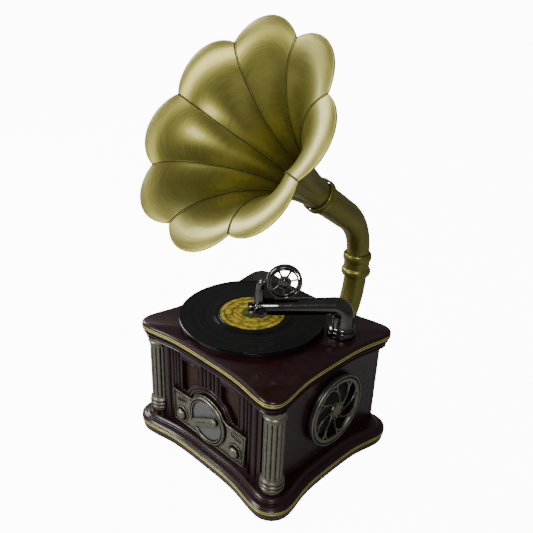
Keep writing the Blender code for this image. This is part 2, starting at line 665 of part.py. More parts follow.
# ================================================================ tonearm
def build_arm():
    """Flange on the board and the swinging arm; along the arm is the frame's +X."""
    frame = make_empty("arm_axis", (*ARM_PLACE, 0.0), (0.0, 0.0, ARM_HEADING))
    low = BOARD_TOP + GAP
    hole = PIVOT_PIN + GAP
    turned("arm_base", [(hole, low), (13.0, low), (13.6, low + 0.8), (13.6, low + 3.0),
                        (12.4, low + 3.6), (12.2, FLANGE_TOP), (hole, FLANGE_TOP)],
           "dark_chrome", 28, frame, hollow=True)
    start = FLANGE_TOP + GAP
    rows = [(110.0, PIVOT_PIN), (start, PIVOT_PIN), (start + 0.1, 12.0), (start + 1.4, 12.6),
            (start + 3.0, RISER_RADIUS)]
    path = [Vector((0.0, 0.0, height)) for height, radius in rows]
    radii = [radius for height, radius in rows]
    bend = arc(Vector((ARM_BEND, 0.0, ARM_Z - ARM_BEND)), Vector((-ARM_BEND, 0.0, 0.0)),
               Vector((0.0, 0.0, ARM_BEND)), 0.0, QUARTER, 6)
    path += bend
    for step in range(len(bend)):
        radii.append(RISER_RADIUS + (ARM_RADIUS + 0.4 - RISER_RADIUS) * step / 6)
    end = ARM_LENGTH + 5.2
    for along, radius in ((24.0, ARM_RADIUS), (60.0, ARM_RADIUS), (end - 1.6, 7.8), (end, 6.6)):
        path.append(Vector((along, 0.0, ARM_Z)))
        radii.append(radius)
    arm = pipe("tonearm", path, radii, "dark_chrome", 20, frame)
    head = make_empty("head_axis", (ARM_LENGTH, 0.0, ARM_Z), parent=frame)
    across = (-QUARTER, 0.0, 0.0)
    combine(arm, block("cutter_fork_slot", (-FORK_DEPTH, -FORK_SLOT, -20.0),
                       (20.0, FORK_SLOT, 20.0), None, head))
    combine(arm, bore("cutter_fork_holes", HEAD_PIN + GAP, -20.0, 20.0, (0.0, 0.0, 0.0),
                      across, head))
    pin = turned("head_pin", [(4.6, -9.4), (4.6, -8.2), (HEAD_PIN, -8.2), (HEAD_PIN, 8.2),
                              (5.9, 8.2), (5.9, 10.0), (5.3, 10.6), (4.9, 9.6)],
                 "dark_chrome", 20, head)
    pin.rotation_euler = across
    build_head(head)


def build_head(head):
    """Knuckle with its conical stem, and the open spoked sound box tipped over the arm."""
    across = (-QUARTER, 0.0, 0.0)
    half = FORK_SLOT - 0.5
    knuckle = turned("gooseneck", [(6.4, -half), (6.4, half)], "dark_chrome", 20, head)
    knuckle.rotation_euler = across
    centre = Vector(SOUND_BOX_PLACE)
    outward = Vector((1.0, 0.0, 0.0))
    tip = centre + outward * (SOUND_BOX_RADIUS + 0.8)
    path = [Vector((0.6, 0.0, 2.0)), Vector((0.6, 0.0, 8.0)), Vector((0.5, 0.2, 15.0)),
            Vector((0.5, 0.8, 20.0)), tip + Vector((3.6, -0.5, -2.4)),
            tip + Vector((1.9, -0.1, -0.4)), tip]
    stem = pipe("weld_stem", path, [4.8, 4.8, 4.1, 3.6, 3.3, 3.1, 3.0], None, 16, head)
    combine(knuckle, stem, "UNION")
    grip = turned("weld_finger_grip", [(3.0, 4.0), (4.4, 7.0), (4.4, 10.4), (3.8, 10.8)],
                  None, 16, head)
    grip.rotation_euler = (0.0, QUARTER, 0.0)
    combine(knuckle, grip, "UNION")
    combine(knuckle, bore("cutter_knuckle", HEAD_PIN + GAP, -20.0, 20.0, (0.0, 0.0, 0.0),
                          across, head))
    place = make_empty("sound_box_frame", SOUND_BOX_PLACE, (-QUARTER, 0.0, 0.0), head)
    rim = SOUND_BOX_RADIUS
    turned("sound_box_ring", [(rim - 2.6, -3.4), (rim - 0.6, -3.4), (rim, -2.6), (rim, 2.6),
                              (rim - 1.2, 3.6), (rim - 2.6, 3.0)],
           "dark_chrome", 32, place, hollow=True)
    web = rim - 2.6 - GAP
    spider = turned("sound_box_spider", [(web, 0.4), (web, 2.4), (6.4, 2.4), (5.8, 3.0)],
                    "dark_chrome", 28, place)
    combine(spider, spoke_cutter(place, web - 1.8, 6.0))
    turned("sound_box_hub", [(4.4, 3.3), (4.4, 4.2), (3.4, 4.9), (1.0, 5.2)],
           "dark_chrome", 20, place)


def spoke_cutter(place, outer, inner):
    """The openings between the spokes: one spoke hangs straight down."""
    verts = []
    faces = []
    pitch = 2.0 * math.pi / SOUND_BOX_SPOKES
    steps = 3
    half_spoke = 1.35
    for index in range(SOUND_BOX_SPOKES):
        start = QUARTER + pitch * index
        outline = []
        for radius, order in ((outer, 1), (inner, -1)):
            trim = math.asin(half_spoke / radius)
            angles = [start + trim + (pitch - 2.0 * trim) * step / steps
                      for step in range(steps + 1)]
            outline += [(radius * math.cos(a), radius * math.sin(a)) for a in angles[::order]]
        part, sides = stack([[(x, y, z) for x, y in outline] for z in (-10.0, 10.0)])
        base = len(verts)
        verts.extend(part)
        faces.extend(tuple(base + i for i in side) for side in sides)
    return make_object("cutter_spokes", verts, faces, None, place, smooth=0.0)


# ================================================================ horn
def build_neck():
    """Socket on the back wall, the swan neck that rises from it, and its collar."""
    rear = make_empty("socket_frame", (0.0, WALL_BACK, NECK_SOCKET_Z), (-QUARTER, 0.0, 0.0))
    hole = NECK_RADIUS + GAP
    inner = hole - 2.4
    turned("horn_socket",
           [(inner, GAP), (20.0, GAP), (20.0, 2.8), (15.2, 4.2), (14.8, 6.8), (15.8, 8.8),
            (hole, 8.8), (hole, 3.4), (inner, 3.4)], "brass_paint", 28, rear, hollow=True)
    back = Vector((0.0, 1.0, 0.0))
    up = Vector((0.0, 0.0, 1.0))
    start = Vector((0.0, WALL_BACK + SOCKET_REACH, NECK_SOCKET_Z))
    path = [start - back * (SOCKET_REACH - 3.4 - GAP)]
    turn = QUARTER - NECK_LEAN
    path += arc(start + up * NECK_LOWER_BEND, back * NECK_LOWER_BEND, up * NECK_LOWER_BEND,
                -QUARTER, turn - QUARTER, 5)
    centre = Vector((0.0, NECK_Y - NECK_UPPER_BEND, NECK_UPRIGHT_Z))
    path += arc(centre, back * NECK_UPPER_BEND, up * NECK_UPPER_BEND, -NECK_LEAN, 0.0, 3)[1:]
    path.append(Vector((0.0, NECK_Y, COLLAR_MIDDLE - 0.5 * GAP)))
    pipe("lower_neck", path, [NECK_RADIUS] * len(path), "brass_paint", 20, wall=NECK_WALL)
    pivot = make_empty("neck_axis", (0.0, NECK_Y, 0.0))
    low = COLLAR_BOTTOM
    top = COLLAR_TOP
    turned("neck_collar",
           [(hole, low), (14.2, low), (15.6, low + 2.0), (15.6, low + 6.0), (14.0, low + 8.4),
            (14.0, top - 8.4), (15.1, top - 5.4), (15.1, top - 2.6), (14.2, top - 0.6),
            (hole, top)], "brass_paint", 28, pivot, hollow=True)


def horn_frame_points():
    """The bell's axis in the horn's frame, whose +X is where the horn points."""
    heading = Vector((math.cos(HORN_TILT), 0.0, math.sin(HORN_TILT)))
    throat = Vector((0.0, 0.0, AXES_MEET_Z)) + heading * THROAT_AT
    return heading, throat


def build_horn():
    """Elbow, throat ring and petalled bell, which swivel together in the collar."""
    frame = make_empty("horn_axis", (0.0, NECK_Y, 0.0), (0.0, 0.0, HORN_HEADING))
    heading, throat = horn_frame_points()
    bend_turn = QUARTER - HORN_TILT
    bend_start = AXES_MEET_Z - ELBOW_BEND * math.tan(0.5 * bend_turn)
    path = [Vector((0.0, 0.0, COLLAR_MIDDLE + 0.5 * GAP)), Vector((0.0, 0.0, COLLAR_TOP))]
    path += arc(Vector((ELBOW_BEND, 0.0, bend_start)), Vector((-ELBOW_BEND, 0.0, 0.0)),
                Vector((0.0, 0.0, ELBOW_BEND)), 0.0, bend_turn, 8)
    bend_end = path[-1]
    path += [bend_end.lerp(throat, share) for share in (0.5, 1.0)]
    radii = [NECK_RADIUS, NECK_RADIUS]
    swell = len(path) - 3
    for step in range(swell + 1):
        radii.append(NECK_RADIUS + (THROAT_RADIUS - NECK_RADIUS) * (step / swell) ** 2)
    pipe("horn_elbow", path, radii, "brass_paint", 20, frame, wall=NECK_WALL)
    level = make_empty("bell_frame", throat, (0.0, QUARTER - HORN_TILT, 0.0), frame)
    hole = THROAT_RADIUS + 0.5
    turned("throat_ring",
           [(hole, -4.6), (16.6, -4.6), (17.8, -3.2), (17.0, -0.8), (16.8, 1.2),
            (17.4, 2.8), (16.6, 4.6), (hole, 4.6)], "brass_paint", 28, level, hollow=True)
    build_bell(frame, heading, throat)


def bell_point(origin, axes, share, angle):
    """A point of the bell's outer skin at a share of its length and an angle round it."""
    side, up, heading = axes
    pitch = 2.0 * math.pi / BELL_PETALS
    across = ((angle - BELL_TURN) / pitch) % 1.0 * 2.0 - 1.0
    crown = 1.0 - across * across
    radius = THROAT_RADIUS + (BELL_SEAM - THROAT_RADIUS) * share ** BELL_FLARE
    radius += (BELL_PETAL - BELL_SEAM) * crown * share ** BELL_BULGE
    forward = BELL_LENGTH * share + BELL_TIP * crown * share ** 4
    roll = BELL_ROLL * (BELL_ROLL_SEAM + (1.0 - BELL_ROLL_SEAM) * crown)
    forward += roll * (share ** 2.5 - share ** 8)
    rim = side * math.cos(angle) + up * math.sin(angle)
    return origin + heading * forward + rim * radius


def build_bell(frame, heading, throat):
    """Thin flared bell of eight bulging petals that meet in creased seams."""
    side = Vector((0.0, 1.0, 0.0))
    axes = (side, heading.cross(side), heading)
    origin = throat + heading * GAP
    petal_steps = 6
    segments = BELL_PETALS * petal_steps
    levels = 11
    nudge = 0.002
    outer = []
    inner = []
    for level in range(levels + 1):
        share = (level / levels) ** 0.8
        outer_ring = []
        inner_ring = []
        for i in range(segments):
            angle = BELL_TURN + 2.0 * math.pi * i / segments
            point = bell_point(origin, axes, share, angle)
            along = bell_point(origin, axes, share + nudge, angle) - point
            round_way = (bell_point(origin, axes, share, angle + nudge)
                         - bell_point(origin, axes, share, angle - nudge))
            normal = round_way.cross(along).normalized()
            outer_ring.append(tuple(point))
            inner_ring.append(tuple(point - normal * BELL_WALL))
        outer.append(outer_ring)
        inner.append(inner_ring)
    verts, faces = stack(outer + inner[::-1], closed_ends=False)
    make_object("horn_bell", verts, faces, "brass_paint", frame, smooth=30.0)


def main():
    clear_scene()
    build_plinth()
    build_walls()
    build_columns()
    build_top()
    build_controls()
    build_sides()
    build_inside()
    build_back()
    build_turntable()
    build_arm()
    build_neck()
    build_horn()


main()
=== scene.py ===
"""Looks of the tabletop horn loudspeaker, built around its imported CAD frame.

Lengths are millimetres in the row frame; MM makes them metres.  Fine meshes stand
for the CAD nodes whose shapes show most, and the other nodes keep their meshes and
get procedural materials.
"""
import json
import math

import bmesh
import bpy
from mathutils import Euler, Matrix, Vector


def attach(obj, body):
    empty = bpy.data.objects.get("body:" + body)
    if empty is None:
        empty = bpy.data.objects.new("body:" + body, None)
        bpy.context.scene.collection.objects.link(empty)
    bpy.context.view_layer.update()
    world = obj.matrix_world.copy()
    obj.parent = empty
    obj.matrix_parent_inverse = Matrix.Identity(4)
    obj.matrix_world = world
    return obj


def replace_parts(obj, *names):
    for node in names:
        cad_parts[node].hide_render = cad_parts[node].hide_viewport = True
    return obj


MM = 0.001
GAP = 0.3
QUARTER = math.radians(90.0)
TURN = 2.0 * math.pi

PLINTH = ((99.2, 89.4), 20.3, 7.0)          # half size, corner, sag of the bowed outline
BOARD = ((90.9, 85.5), 12.5, 6.4)
PLINTH_LEDGE = 18.6
PLINTH_TOP = 20.6
BOARD_BOTTOM = 114.6
BOARD_TOP = 124.6
CROWN_BOTTOM = 108.5
CASE_BOTTOM = 20.9
CASE_TOP = 108.2
WALL_X = 79.5
WALL_BACK = 78.0
WALL_FRONT = -72.0
COLUMN_PLACE = (78.4, -68.8)
DIAL_Z = 50.8
DIAL_RADIUS = 24.3
DIAL_RIM = 4.6
DIAL_FRONT = 2.3                            # the plate's face, ahead of the baffle's gap
BAR_REST = math.radians(28.0)               # the tuning bar's slope at rest
PLATE_HALF = 51.0
PLATE_BOTTOM = 26.0
PLATE_TOP = 62.0
PLATE_FACE = WALL_FRONT - GAP - 2.0
KNOB_X = 37.0
KNOB_Z = 37.7
GRILLE_Y = 8.0
GRILLE_Z = 67.0
GRILLE_FACE = 86.6
GRILLE_LIP = 84.2
GRILLE_HOLE = 29.0
GRILLE_RIM = 36.0
SPIN_PLACE = (-16.0, -3.4)
SPIN_BORE = 3.3
RECORD_RADIUS = 70.5
RECORD_TOP = 131.2
LABEL_RADIUS = 31.0
PAPER = 0.25                                # thickness of the label
ARM_PLACE = (59.3, 39.8)
ARM_HEADING = math.radians(-131.0)
ARM_LENGTH = 77.7
ARM_Z = 154.2
ARM_RADIUS = 8.0
FLANGE_TOP = 130.5
FORK_BORE = 3.3
WHEEL_RIM = 16.4
WHEEL_SPOKES = 7
NECK_Y = 139.1
NECK_RADIUS = 12.3
NECK_WALL = 1.6
NECK_SPLIT = (145.85, 146.15)               # the fixed neck's end and the turning elbow's start
COLLAR_BORE = 12.6
COLLAR_TOP = 158.6
HORN_HEADING = math.radians(-92.9)
HORN_TILT = math.radians(34.5)
AXES_MEET_Z = 189.5
THROAT_AT = 84.4
THROAT_RADIUS = 15.1
BELL_LENGTH = 132.2
BELL_SEAM = 88.4
BELL_PETAL = 101.4
BELL_PETALS = 8
BELL_TURN = math.radians(32.6)
BELL_WALL = 1.1
BELL_FLARE = 2.5
BELL_BULGE = 1.6
BELL_TIP = 3.7
BELL_ROLL = 30.0                            # how strongly the lip rolls over towards the rim
BELL_ROLL_SEAM = 0.7
THREADS = 7400.0                            # radians of the cloth's weave in each metre
GROOVE_PITCH = 0.0009                       # metres between the record's grooves
BEAD_RISE = 1.05                            # the gold beads' offset either side of the line
EDGE_RISE = 1.8
FILL = 0.14                                 # the sky's soft light on the object
WHITE = 12.0                                # how bright the floor and sky are to the camera

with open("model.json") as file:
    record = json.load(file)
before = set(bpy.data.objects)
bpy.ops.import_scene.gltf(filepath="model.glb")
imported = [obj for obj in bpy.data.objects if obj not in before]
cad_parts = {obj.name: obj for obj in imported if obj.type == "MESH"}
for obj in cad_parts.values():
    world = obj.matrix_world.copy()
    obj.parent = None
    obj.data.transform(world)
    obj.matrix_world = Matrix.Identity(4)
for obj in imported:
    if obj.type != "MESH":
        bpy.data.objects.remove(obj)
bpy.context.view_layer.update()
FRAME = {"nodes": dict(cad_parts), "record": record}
NODES = FRAME["nodes"]


# ================================================================ materials
class Finish:
    """A small helper that builds one node material."""

    def __init__(self, name, colour, roughness, metallic=0.0, coat=0.0):
        self.made = bpy.data.materials.new(name)
        self.made.use_nodes = True
        self.tree = self.made.node_tree
        self.shader = self.tree.nodes["Principled BSDF"]
        self.put(self.shader, "Base Color", (*colour, 1.0))
        self.put(self.shader, "Roughness", roughness)
        self.put(self.shader, "Metallic", metallic)
        self.put(self.shader, "Coat Weight", coat)
        self.put(self.shader, "Coat Roughness", 0.04)

    def put(self, node, socket, value):
        node.inputs[socket].default_value = value

    def node(self, kind, **inputs):
        made = self.tree.nodes.new("ShaderNode" + kind)
        for socket, value in inputs.items():
            name = socket.replace("_", " ")
            if isinstance(value, bpy.types.NodeSocket):
                self.tree.links.new(value, made.inputs[name])
            else:
                self.put(made, name, value)
        return made

    def link(self, source, socket):
        self.tree.links.new(source, self.shader.inputs[socket])

    def place(self, scale, kind="Object", turn=(0.0, 0.0, 0.0), shift=(0.0, 0.0, 0.0)):
        """Object or UV coordinates, moved and scaled."""
        source = self.tree.nodes.new("ShaderNodeTexCoord").outputs[kind]
        mapping = self.node("Mapping", Vector=source, Scale=scale, Rotation=turn,
                            Location=shift)
        return mapping.outputs["Vector"]

    def noise(self, scale, detail=3.0, coords=None, rough=0.5):
        where = coords if coords is not None else self.place((1.0, 1.0, 1.0))
        made = self.node("TexNoise", Vector=where, Scale=scale, Detail=detail, Roughness=rough)
        return made.outputs["Fac"]

    def math(self, operation, first, second=0.0):
        made = self.tree.nodes.new("ShaderNodeMath")
        made.operation = operation
        for index, value in enumerate((first, second)):
            if isinstance(value, bpy.types.NodeSocket):
                self.tree.links.new(value, made.inputs[index])
            else:
                made.inputs[index].default_value = value
        return made.outputs[0]

    def ramp(self, factor, *stops):
        made = self.node("ValToRGB", Fac=factor)
        band = made.color_ramp
        while len(band.elements) > 1:
            band.elements.remove(band.elements[-1])
        for index, (where, colour) in enumerate(stops):
            stop = band.elements[0] if index == 0 else band.elements.new(where)
            stop.position = where
            stop.color = (*colour, 1.0)
        return made.outputs["Color"]

    def from_spindle(self):
        """Distance from the spindle's axis in metres."""
        shift = (-SPIN_PLACE[0] * MM, -SPIN_PLACE[1] * MM, 0.0)
        away = self.node("VectorMath", Vector=self.place((1.0, 1.0, 0.0), shift=shift))
        away.operation = "LENGTH"
        return away.outputs["Value"]

    def grey(self, factor, low, high, start=0.3, end=0.7):
        made = self.node("MapRange", Value=factor, From_Min=start, From_Max=end,
                         To_Min=low, To_Max=high)
        return made.outputs["Result"]

    def bump(self, height, strength, distance=0.0002):
        made = self.node("Bump", Height=height, Strength=strength, Distance=distance)
        self.link(made.outputs["Normal"], "Normal")
        return made


def wood_finish():
    f = Finish("wine_wood", (0.02, 0.004, 0.005), 0.34, coat=0.45)
    f.put(f.shader, "Specular IOR Level", 0.3)
    grain = f.noise(60.0, 5.0, f.place((1.0, 9.0, 9.0)))
    f.link(f.ramp(grain, (0.25, (0.013, 0.0026, 0.0032)), (0.75, (0.025, 0.0048, 0.0056))),
           "Base Color")
    f.link(f.grey(f.noise(400.0), 0.28, 0.42), "Roughness")
    f.put(f.shader, "Coat Roughness", 0.07)
    return f.made


def brass_finish():
    f = Finish("brass_paint", (0.36, 0.31, 0.09), 0.36, 0.82, coat=0.15)
    hair = f.noise(6.0, 6.0, f.place((3.0, 260.0, 1.0), "UV"), 0.65)
    cloud = f.noise(26.0, 2.0)
    mixed = f.math("ADD", f.math("MULTIPLY", hair, 0.75), f.math("MULTIPLY", cloud, 0.25))
    f.link(f.ramp(mixed, (0.30, (0.20, 0.18, 0.032)), (0.52, (0.285, 0.26, 0.056)),
                  (0.72, (0.40, 0.365, 0.095))), "Base Color")
    f.link(f.grey(hair, 0.30, 0.44), "Roughness")
    f.bump(hair, 0.16)
    return f.made


def pewter_finish():
    f = Finish("pewter", (0.36, 0.34, 0.29), 0.34, 0.9)
    # painted shade: the ambient occlusion darkens the colour in recesses and between parts, and a
    # little noise adds random wear on top
    hidden = f.node("AmbientOcclusion", Distance=0.0028)
    shade = hidden.outputs["AO"]
    shade_and_wear = f.math("ADD", shade, f.math("MULTIPLY", f.math("SUBTRACT", f.noise(260.0), 0.5), 0.35))
    f.link(f.ramp(shade_and_wear, (0.45, (0.006, 0.0055, 0.0045)), (0.80, (0.085, 0.08, 0.062)),
                  (1.0, (0.29, 0.27, 0.21))), "Base Color")
    f.link(f.grey(f.noise(500.0), 0.28, 0.44), "Roughness")
    f.bump(f.noise(700.0), 0.08)
    return f.made


def chrome_finish():
    f = Finish("dark_chrome", (0.16, 0.155, 0.15), 0.13, 1.0)
    smear = f.noise(45.0, 4.0)
    f.link(f.ramp(smear, (0.3, (0.125, 0.12, 0.118)), (0.7, (0.20, 0.19, 0.18))), "Base Color")
    f.link(f.grey(smear, 0.09, 0.17), "Roughness")
    return f.made


def vinyl_finish():
    f = Finish("vinyl", (0.004, 0.004, 0.004), 0.2)
    f.put(f.shader, "Specular IOR Level", 0.3)
    away = f.from_spindle()
    fine = f.math("SINE", f.math("MULTIPLY", away, TURN / GROOVE_PITCH))
    bands = f.noise(1.0, 3.0, f.node("CombineXYZ", X=f.math("MULTIPLY", away, 420.0)).outputs[0])
    f.link(f.ramp(bands, (0.35, (0.0025, 0.0025, 0.0025)), (0.65, (0.008, 0.008, 0.008))),
           "Base Color")
    f.link(f.grey(bands, 0.14, 0.32), "Roughness")
    f.bump(fine, 0.35, 0.00012)
    return f.made


def label_finish():
    f = Finish("label_paper", (0.5, 0.4, 0.08), 0.6)
    f.put(f.shader, "Specular IOR Level", 0.2)
    wobble = f.math("MULTIPLY", f.math("SUBTRACT", f.noise(140.0, 3.0), 0.5), 0.006)
    share = f.math("DIVIDE", f.math("ADD", f.from_spindle(), wobble), LABEL_RADIUS * MM)
    green = (0.10, 0.13, 0.03)
    gold = (0.50, 0.39, 0.03)
    dark = (0.12, 0.09, 0.015)
    rings = f.ramp(share, (0.0, green), (0.33, green), (0.37, gold), (0.55, gold), (0.60, dark),
                   (0.66, gold), (0.80, gold), (0.85, dark), (0.90, gold), (1.0, gold))
    blotch = f.ramp(f.noise(230.0, 4.0), (0.42, (0.35, 0.30, 0.20)), (0.56, (1.0, 1.0, 1.0)))
    mixed = f.tree.nodes.new("ShaderNodeMix")
    mixed.data_type = "RGBA"
    mixed.blend_type = "MULTIPLY"
    mixed.inputs["Factor"].default_value = 0.85
    f.tree.links.new(rings, mixed.inputs[6])
    f.tree.links.new(blotch, mixed.inputs[7])
    f.link(mixed.outputs[2], "Base Color")
    return f.made


def speckled(name, dark, light, roughness, metallic=0.0, scale=300.0, coat=0.0, relief=0.08):
    """A plain finish whose colour and gloss vary a little over the surface."""
    f = Finish(name, light, roughness, metallic, coat)
    spots = f.noise(scale, 4.0)
    f.link(f.ramp(spots, (0.3, dark), (0.7, light)), "Base Color")
    f.link(f.grey(spots, roughness * 0.85, roughness * 1.15), "Roughness")
    f.bump(spots, relief)
    return f.made


def cloth_finish():
    f = Finish("speaker_cloth", (0.06, 0.03, 0.018), 0.85)
    threads = f.node("SeparateXYZ", Vector=f.place((THREADS,) * 3))
    weave = f.math("MULTIPLY", f.math("SINE", threads.outputs["X"]),
                   f.math("SINE", threads.outputs["Z"]))
    f.link(f.ramp(f.grey(weave, 0.0, 1.0, -1.0, 1.0), (0.2, (0.018, 0.009, 0.006)),
                  (0.8, (0.085, 0.042, 0.024))), "Base Color")
    f.bump(weave, 0.6, 0.0002)
    return f.made


def floor_finish():
    """A pale studio floor; it is brighter to the camera, so that it reads as white."""
    f = Finish("studio_floor", (0.5, 0.5, 0.5), 0.8)
    f.link(f.ramp(f.noise(3.0), (0.3, (0.48, 0.48, 0.48)), (0.7, (0.52, 0.52, 0.52))),
           "Base Color")
    seen = f.tree.nodes.new("ShaderNodeLightPath").outputs["Is Camera Ray"]
    f.put(f.shader, "Emission Color", (1.0, 1.0, 1.0, 1.0))
    f.link(f.math("MULTIPLY", seen, WHITE), "Emission Strength")
    return f.made


MATERIALS = {
    "wine_wood": wood_finish(),
    "brass_paint": brass_finish(),
    "pewter": pewter_finish(),
    "dark_chrome": chrome_finish(),
    "vinyl": vinyl_finish(),
    "label_paper": label_finish(),
    "speaker_cloth": cloth_finish(),
    "gold_inlay": speckled("gold_inlay", (0.62, 0.53, 0.10), (0.78, 0.69, 0.17), 0.36, 0.45,
                           120.0),
    "dark_line": speckled("dark_line", (0.006, 0.004, 0.003), (0.016, 0.010, 0.006), 0.5),
    "seam_edge": speckled("seam_edge", (0.34, 0.31, 0.06), (0.44, 0.40, 0.09), 0.34, 0.8),
    "seam_line": speckled("seam_line", (0.010, 0.008, 0.003), (0.022, 0.018, 0.006), 0.6),
    "black_plastic": speckled("black_plastic", (0.010, 0.010, 0.011), (0.020, 0.020, 0.021), 0.38,
                              coat=0.2),
    "frosted_disc": speckled("frosted_disc", (0.17, 0.17, 0.17), (0.25, 0.25, 0.25), 0.42, 0.6,
                             900.0),
    "rubber": speckled("rubber", (0.012, 0.012, 0.012), (0.024, 0.024, 0.024), 0.8),
    "steel": speckled("steel", (0.38, 0.38, 0.38), (0.52, 0.52, 0.52), 0.3, 1.0),
    "circuit_green": speckled("circuit_green", (0.012, 0.08, 0.03), (0.02, 0.13, 0.05), 0.45),
    "paper_cone": speckled("paper_cone", (0.012, 0.012, 0.012), (0.03, 0.03, 0.03), 0.85),
}


# ================================================================ geometry helpers
def at(place, turn=(0.0, 0.0, 0.0)):
    return Matrix.Translation(Vector(place)) @ Euler(turn).to_matrix().to_4x4()


def face_outwards(mesh):
    edit = bmesh.new()
    edit.from_mesh(mesh)
    bmesh.ops.recalc_face_normals(edit, faces=edit.faces)
    edit.to_mesh(mesh)
    edit.free()


def shown(mesh, name, finish, body, smooth=35.0):
    """Link a mesh whose vertices are in metres, give it its finish and its body."""
    face_outwards(mesh)
    mesh.name = name
    mesh.materials.clear()
    mesh.materials.append(MATERIALS[finish])
    mesh.shade_smooth()
    mesh.set_sharp_from_angle(angle=math.radians(smooth))
    piece = bpy.data.objects.new(name, mesh)
    bpy.context.scene.collection.objects.link(piece)
    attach(piece, body)
    return piece


def stand_in(mesh, node, name, finish, body, smooth=35.0):
    """Show a mesh in place of a CAD node."""
    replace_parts(shown(mesh, name, finish, body, smooth), node)


def mesh_of(verts, faces, uvs=None):
    mesh = bpy.data.meshes.new("piece")
    mesh.from_pydata([tuple(Vector(v) * MM) for v in verts], [], faces)
    if uvs:
        layer = mesh.uv_layers.new(name="wrap")
        flat = [pair for face in uvs for pair in face]
        for index, pair in enumerate(flat):
            layer.data[index].uv = pair
    mesh.update()
    return mesh


def loft(rings, closed=True, ends="cap"):
    """A skin over equal rings: capped, looped on itself, or left as a closed path."""
    count = len(rings[0])
    verts = [point for ring in rings for point in ring]
    travel = [0.0]
    for before, after in zip(rings, rings[1:]):
        travel.append(travel[-1] + (Vector(after[0]) - Vector(before[0])).length * MM)
    levels = len(rings)
    faces = []
    uvs = []
    for level in range(levels if ends == "loop" else levels - 1):
        low = level * count
        high = (level + 1) % levels * count
        v_low = travel[level]
        v_high = travel[level + 1] if level + 1 < levels else travel[level] + 0.001
        for i in range(count if closed else count - 1):
            j = (i + 1) % count
            faces.append((low + i, low + j, high + j, high + i))
            uvs.append(((i / count, v_low), ((i + 1) / count, v_low),
                        ((i + 1) / count, v_high), (i / count, v_high)))
    if ends == "cap":
        for ring in (tuple(reversed(range(count))), tuple(range(len(verts) - count, len(verts)))):
            faces.append(ring)
            uvs.append(tuple((0.0, 0.0) for _ in ring))
    return mesh_of(verts, faces, uvs)


def moved(mesh, matrix):
    """Apply a placement given in millimetres."""
    shift = matrix.to_translation() * MM
    mesh.transform(Matrix.Translation(shift) @ matrix.to_quaternion().to_matrix().to_4x4())
    return mesh


def eased(profile, rounds=2, loop=False):
    """Corner cutting: each corner of the profile becomes a small curve inside it."""
    points = [Vector(point) for point in profile]
    for _ in range(rounds):
        pairs = list(zip(points, points[1:] + points[:1] if loop else points[1:]))
        cut = []
        for first, second in pairs:
            cut.append(first.lerp(second, 0.25))
            cut.append(first.lerp(second, 0.75))
        points = cut if loop else [points[0]] + cut + [points[-1]]
    return points


def turned(profile, segments=96, hollow=False, rounds=2):
    """A solid of revolution about Z from (radius, height) pairs with eased corners."""
    rings = []
    for radius, height in eased(profile, rounds, hollow):
        ring = [(radius * math.cos(TURN * i / segments), radius * math.sin(TURN * i / segments),
                 height) for i in range(segments)]
        rings.append(ring)
    return loft(rings, ends="loop" if hollow else "cap")


def tube_rings(path, radii, segments, closed=False):
    along = (path[1] - path[0]).normalized()
    side = along.orthogonal().normalized()
    rings = []
    last = len(path) - 1
    for index, point in enumerate(path):
        ahead = path[(index + 1) % len(path)] if closed else path[min(index + 1, last)]
        behind = path[index - 1] if closed else path[max(index - 1, 0)]
        heading = (ahead - behind).normalized()
        side.rotate(along.rotation_difference(heading))
        along = heading
        across = along.cross(side)
        rings.append([tuple(point + radii[index] * (side * math.cos(TURN * i / segments)
                                                    + across * math.sin(TURN * i / segments)))
                      for i in range(segments)])
    return rings


def pipe(path, radius, segments=12, wall=0.0, closed=False):
    """A round bar, or a bored tube, along a path; radius is one value or one per point."""
    radii = list(radius) if hasattr(radius, "__len__") else [radius] * len(path)
    rings = tube_rings(path, radii, segments, closed)
    if wall:
        rings += tube_rings(path, [r - wall for r in radii], segments)[::-1]
    return loft(rings, ends="loop" if wall or closed else "cap")


def arc(centre, first, second, start, end, steps):
    angles = [start + (end - start) * step / steps for step in range(steps + 1)]
    return [centre + first * math.cos(a) + second * math.sin(a) for a in angles]


def prism(outline, low, high):
    return loft([[(x, y, z) for x, y in outline] for z in (low, high)])


def stadium(run, radius, steps):
    """A slot's outline: two half circles, run either side of the middle."""
    points = []
    for end in (0, 1):
        for step in range(steps + 1):
            angle = -QUARTER + math.pi * end + math.pi * step / steps
            points.append((run * (1 - 2 * end) + radius * math.cos(angle),
                           radius * math.sin(angle)))
    return points


def block(low, high):
    outline = [(low[0], low[1]), (high[0], low[1]), (high[0], high[1]), (low[0], high[1])]
    return prism(outline, low[2], high[2])


def carve(piece, *cutters, operation="DIFFERENCE"):
    """Cut meshes out of a shown piece, or weld them on, and keep only the result."""
    spare = []
    for mesh in cutters:
        face_outwards(mesh)
        cutter = bpy.data.objects.new("spare_cutter", mesh)
        bpy.context.scene.collection.objects.link(cutter)
        step = piece.modifiers.new("carve", "BOOLEAN")
        step.operation = operation
        step.solver = "EXACT"
        step.object = cutter
        spare.append(cutter)
    graph = bpy.context.evaluated_depsgraph_get()
    result = bpy.data.meshes.new_from_object(piece.evaluated_get(graph))
    piece.modifiers.clear()
    piece.data = result
    for cutter in spare:
        bpy.data.objects.remove(cutter)
    return piece


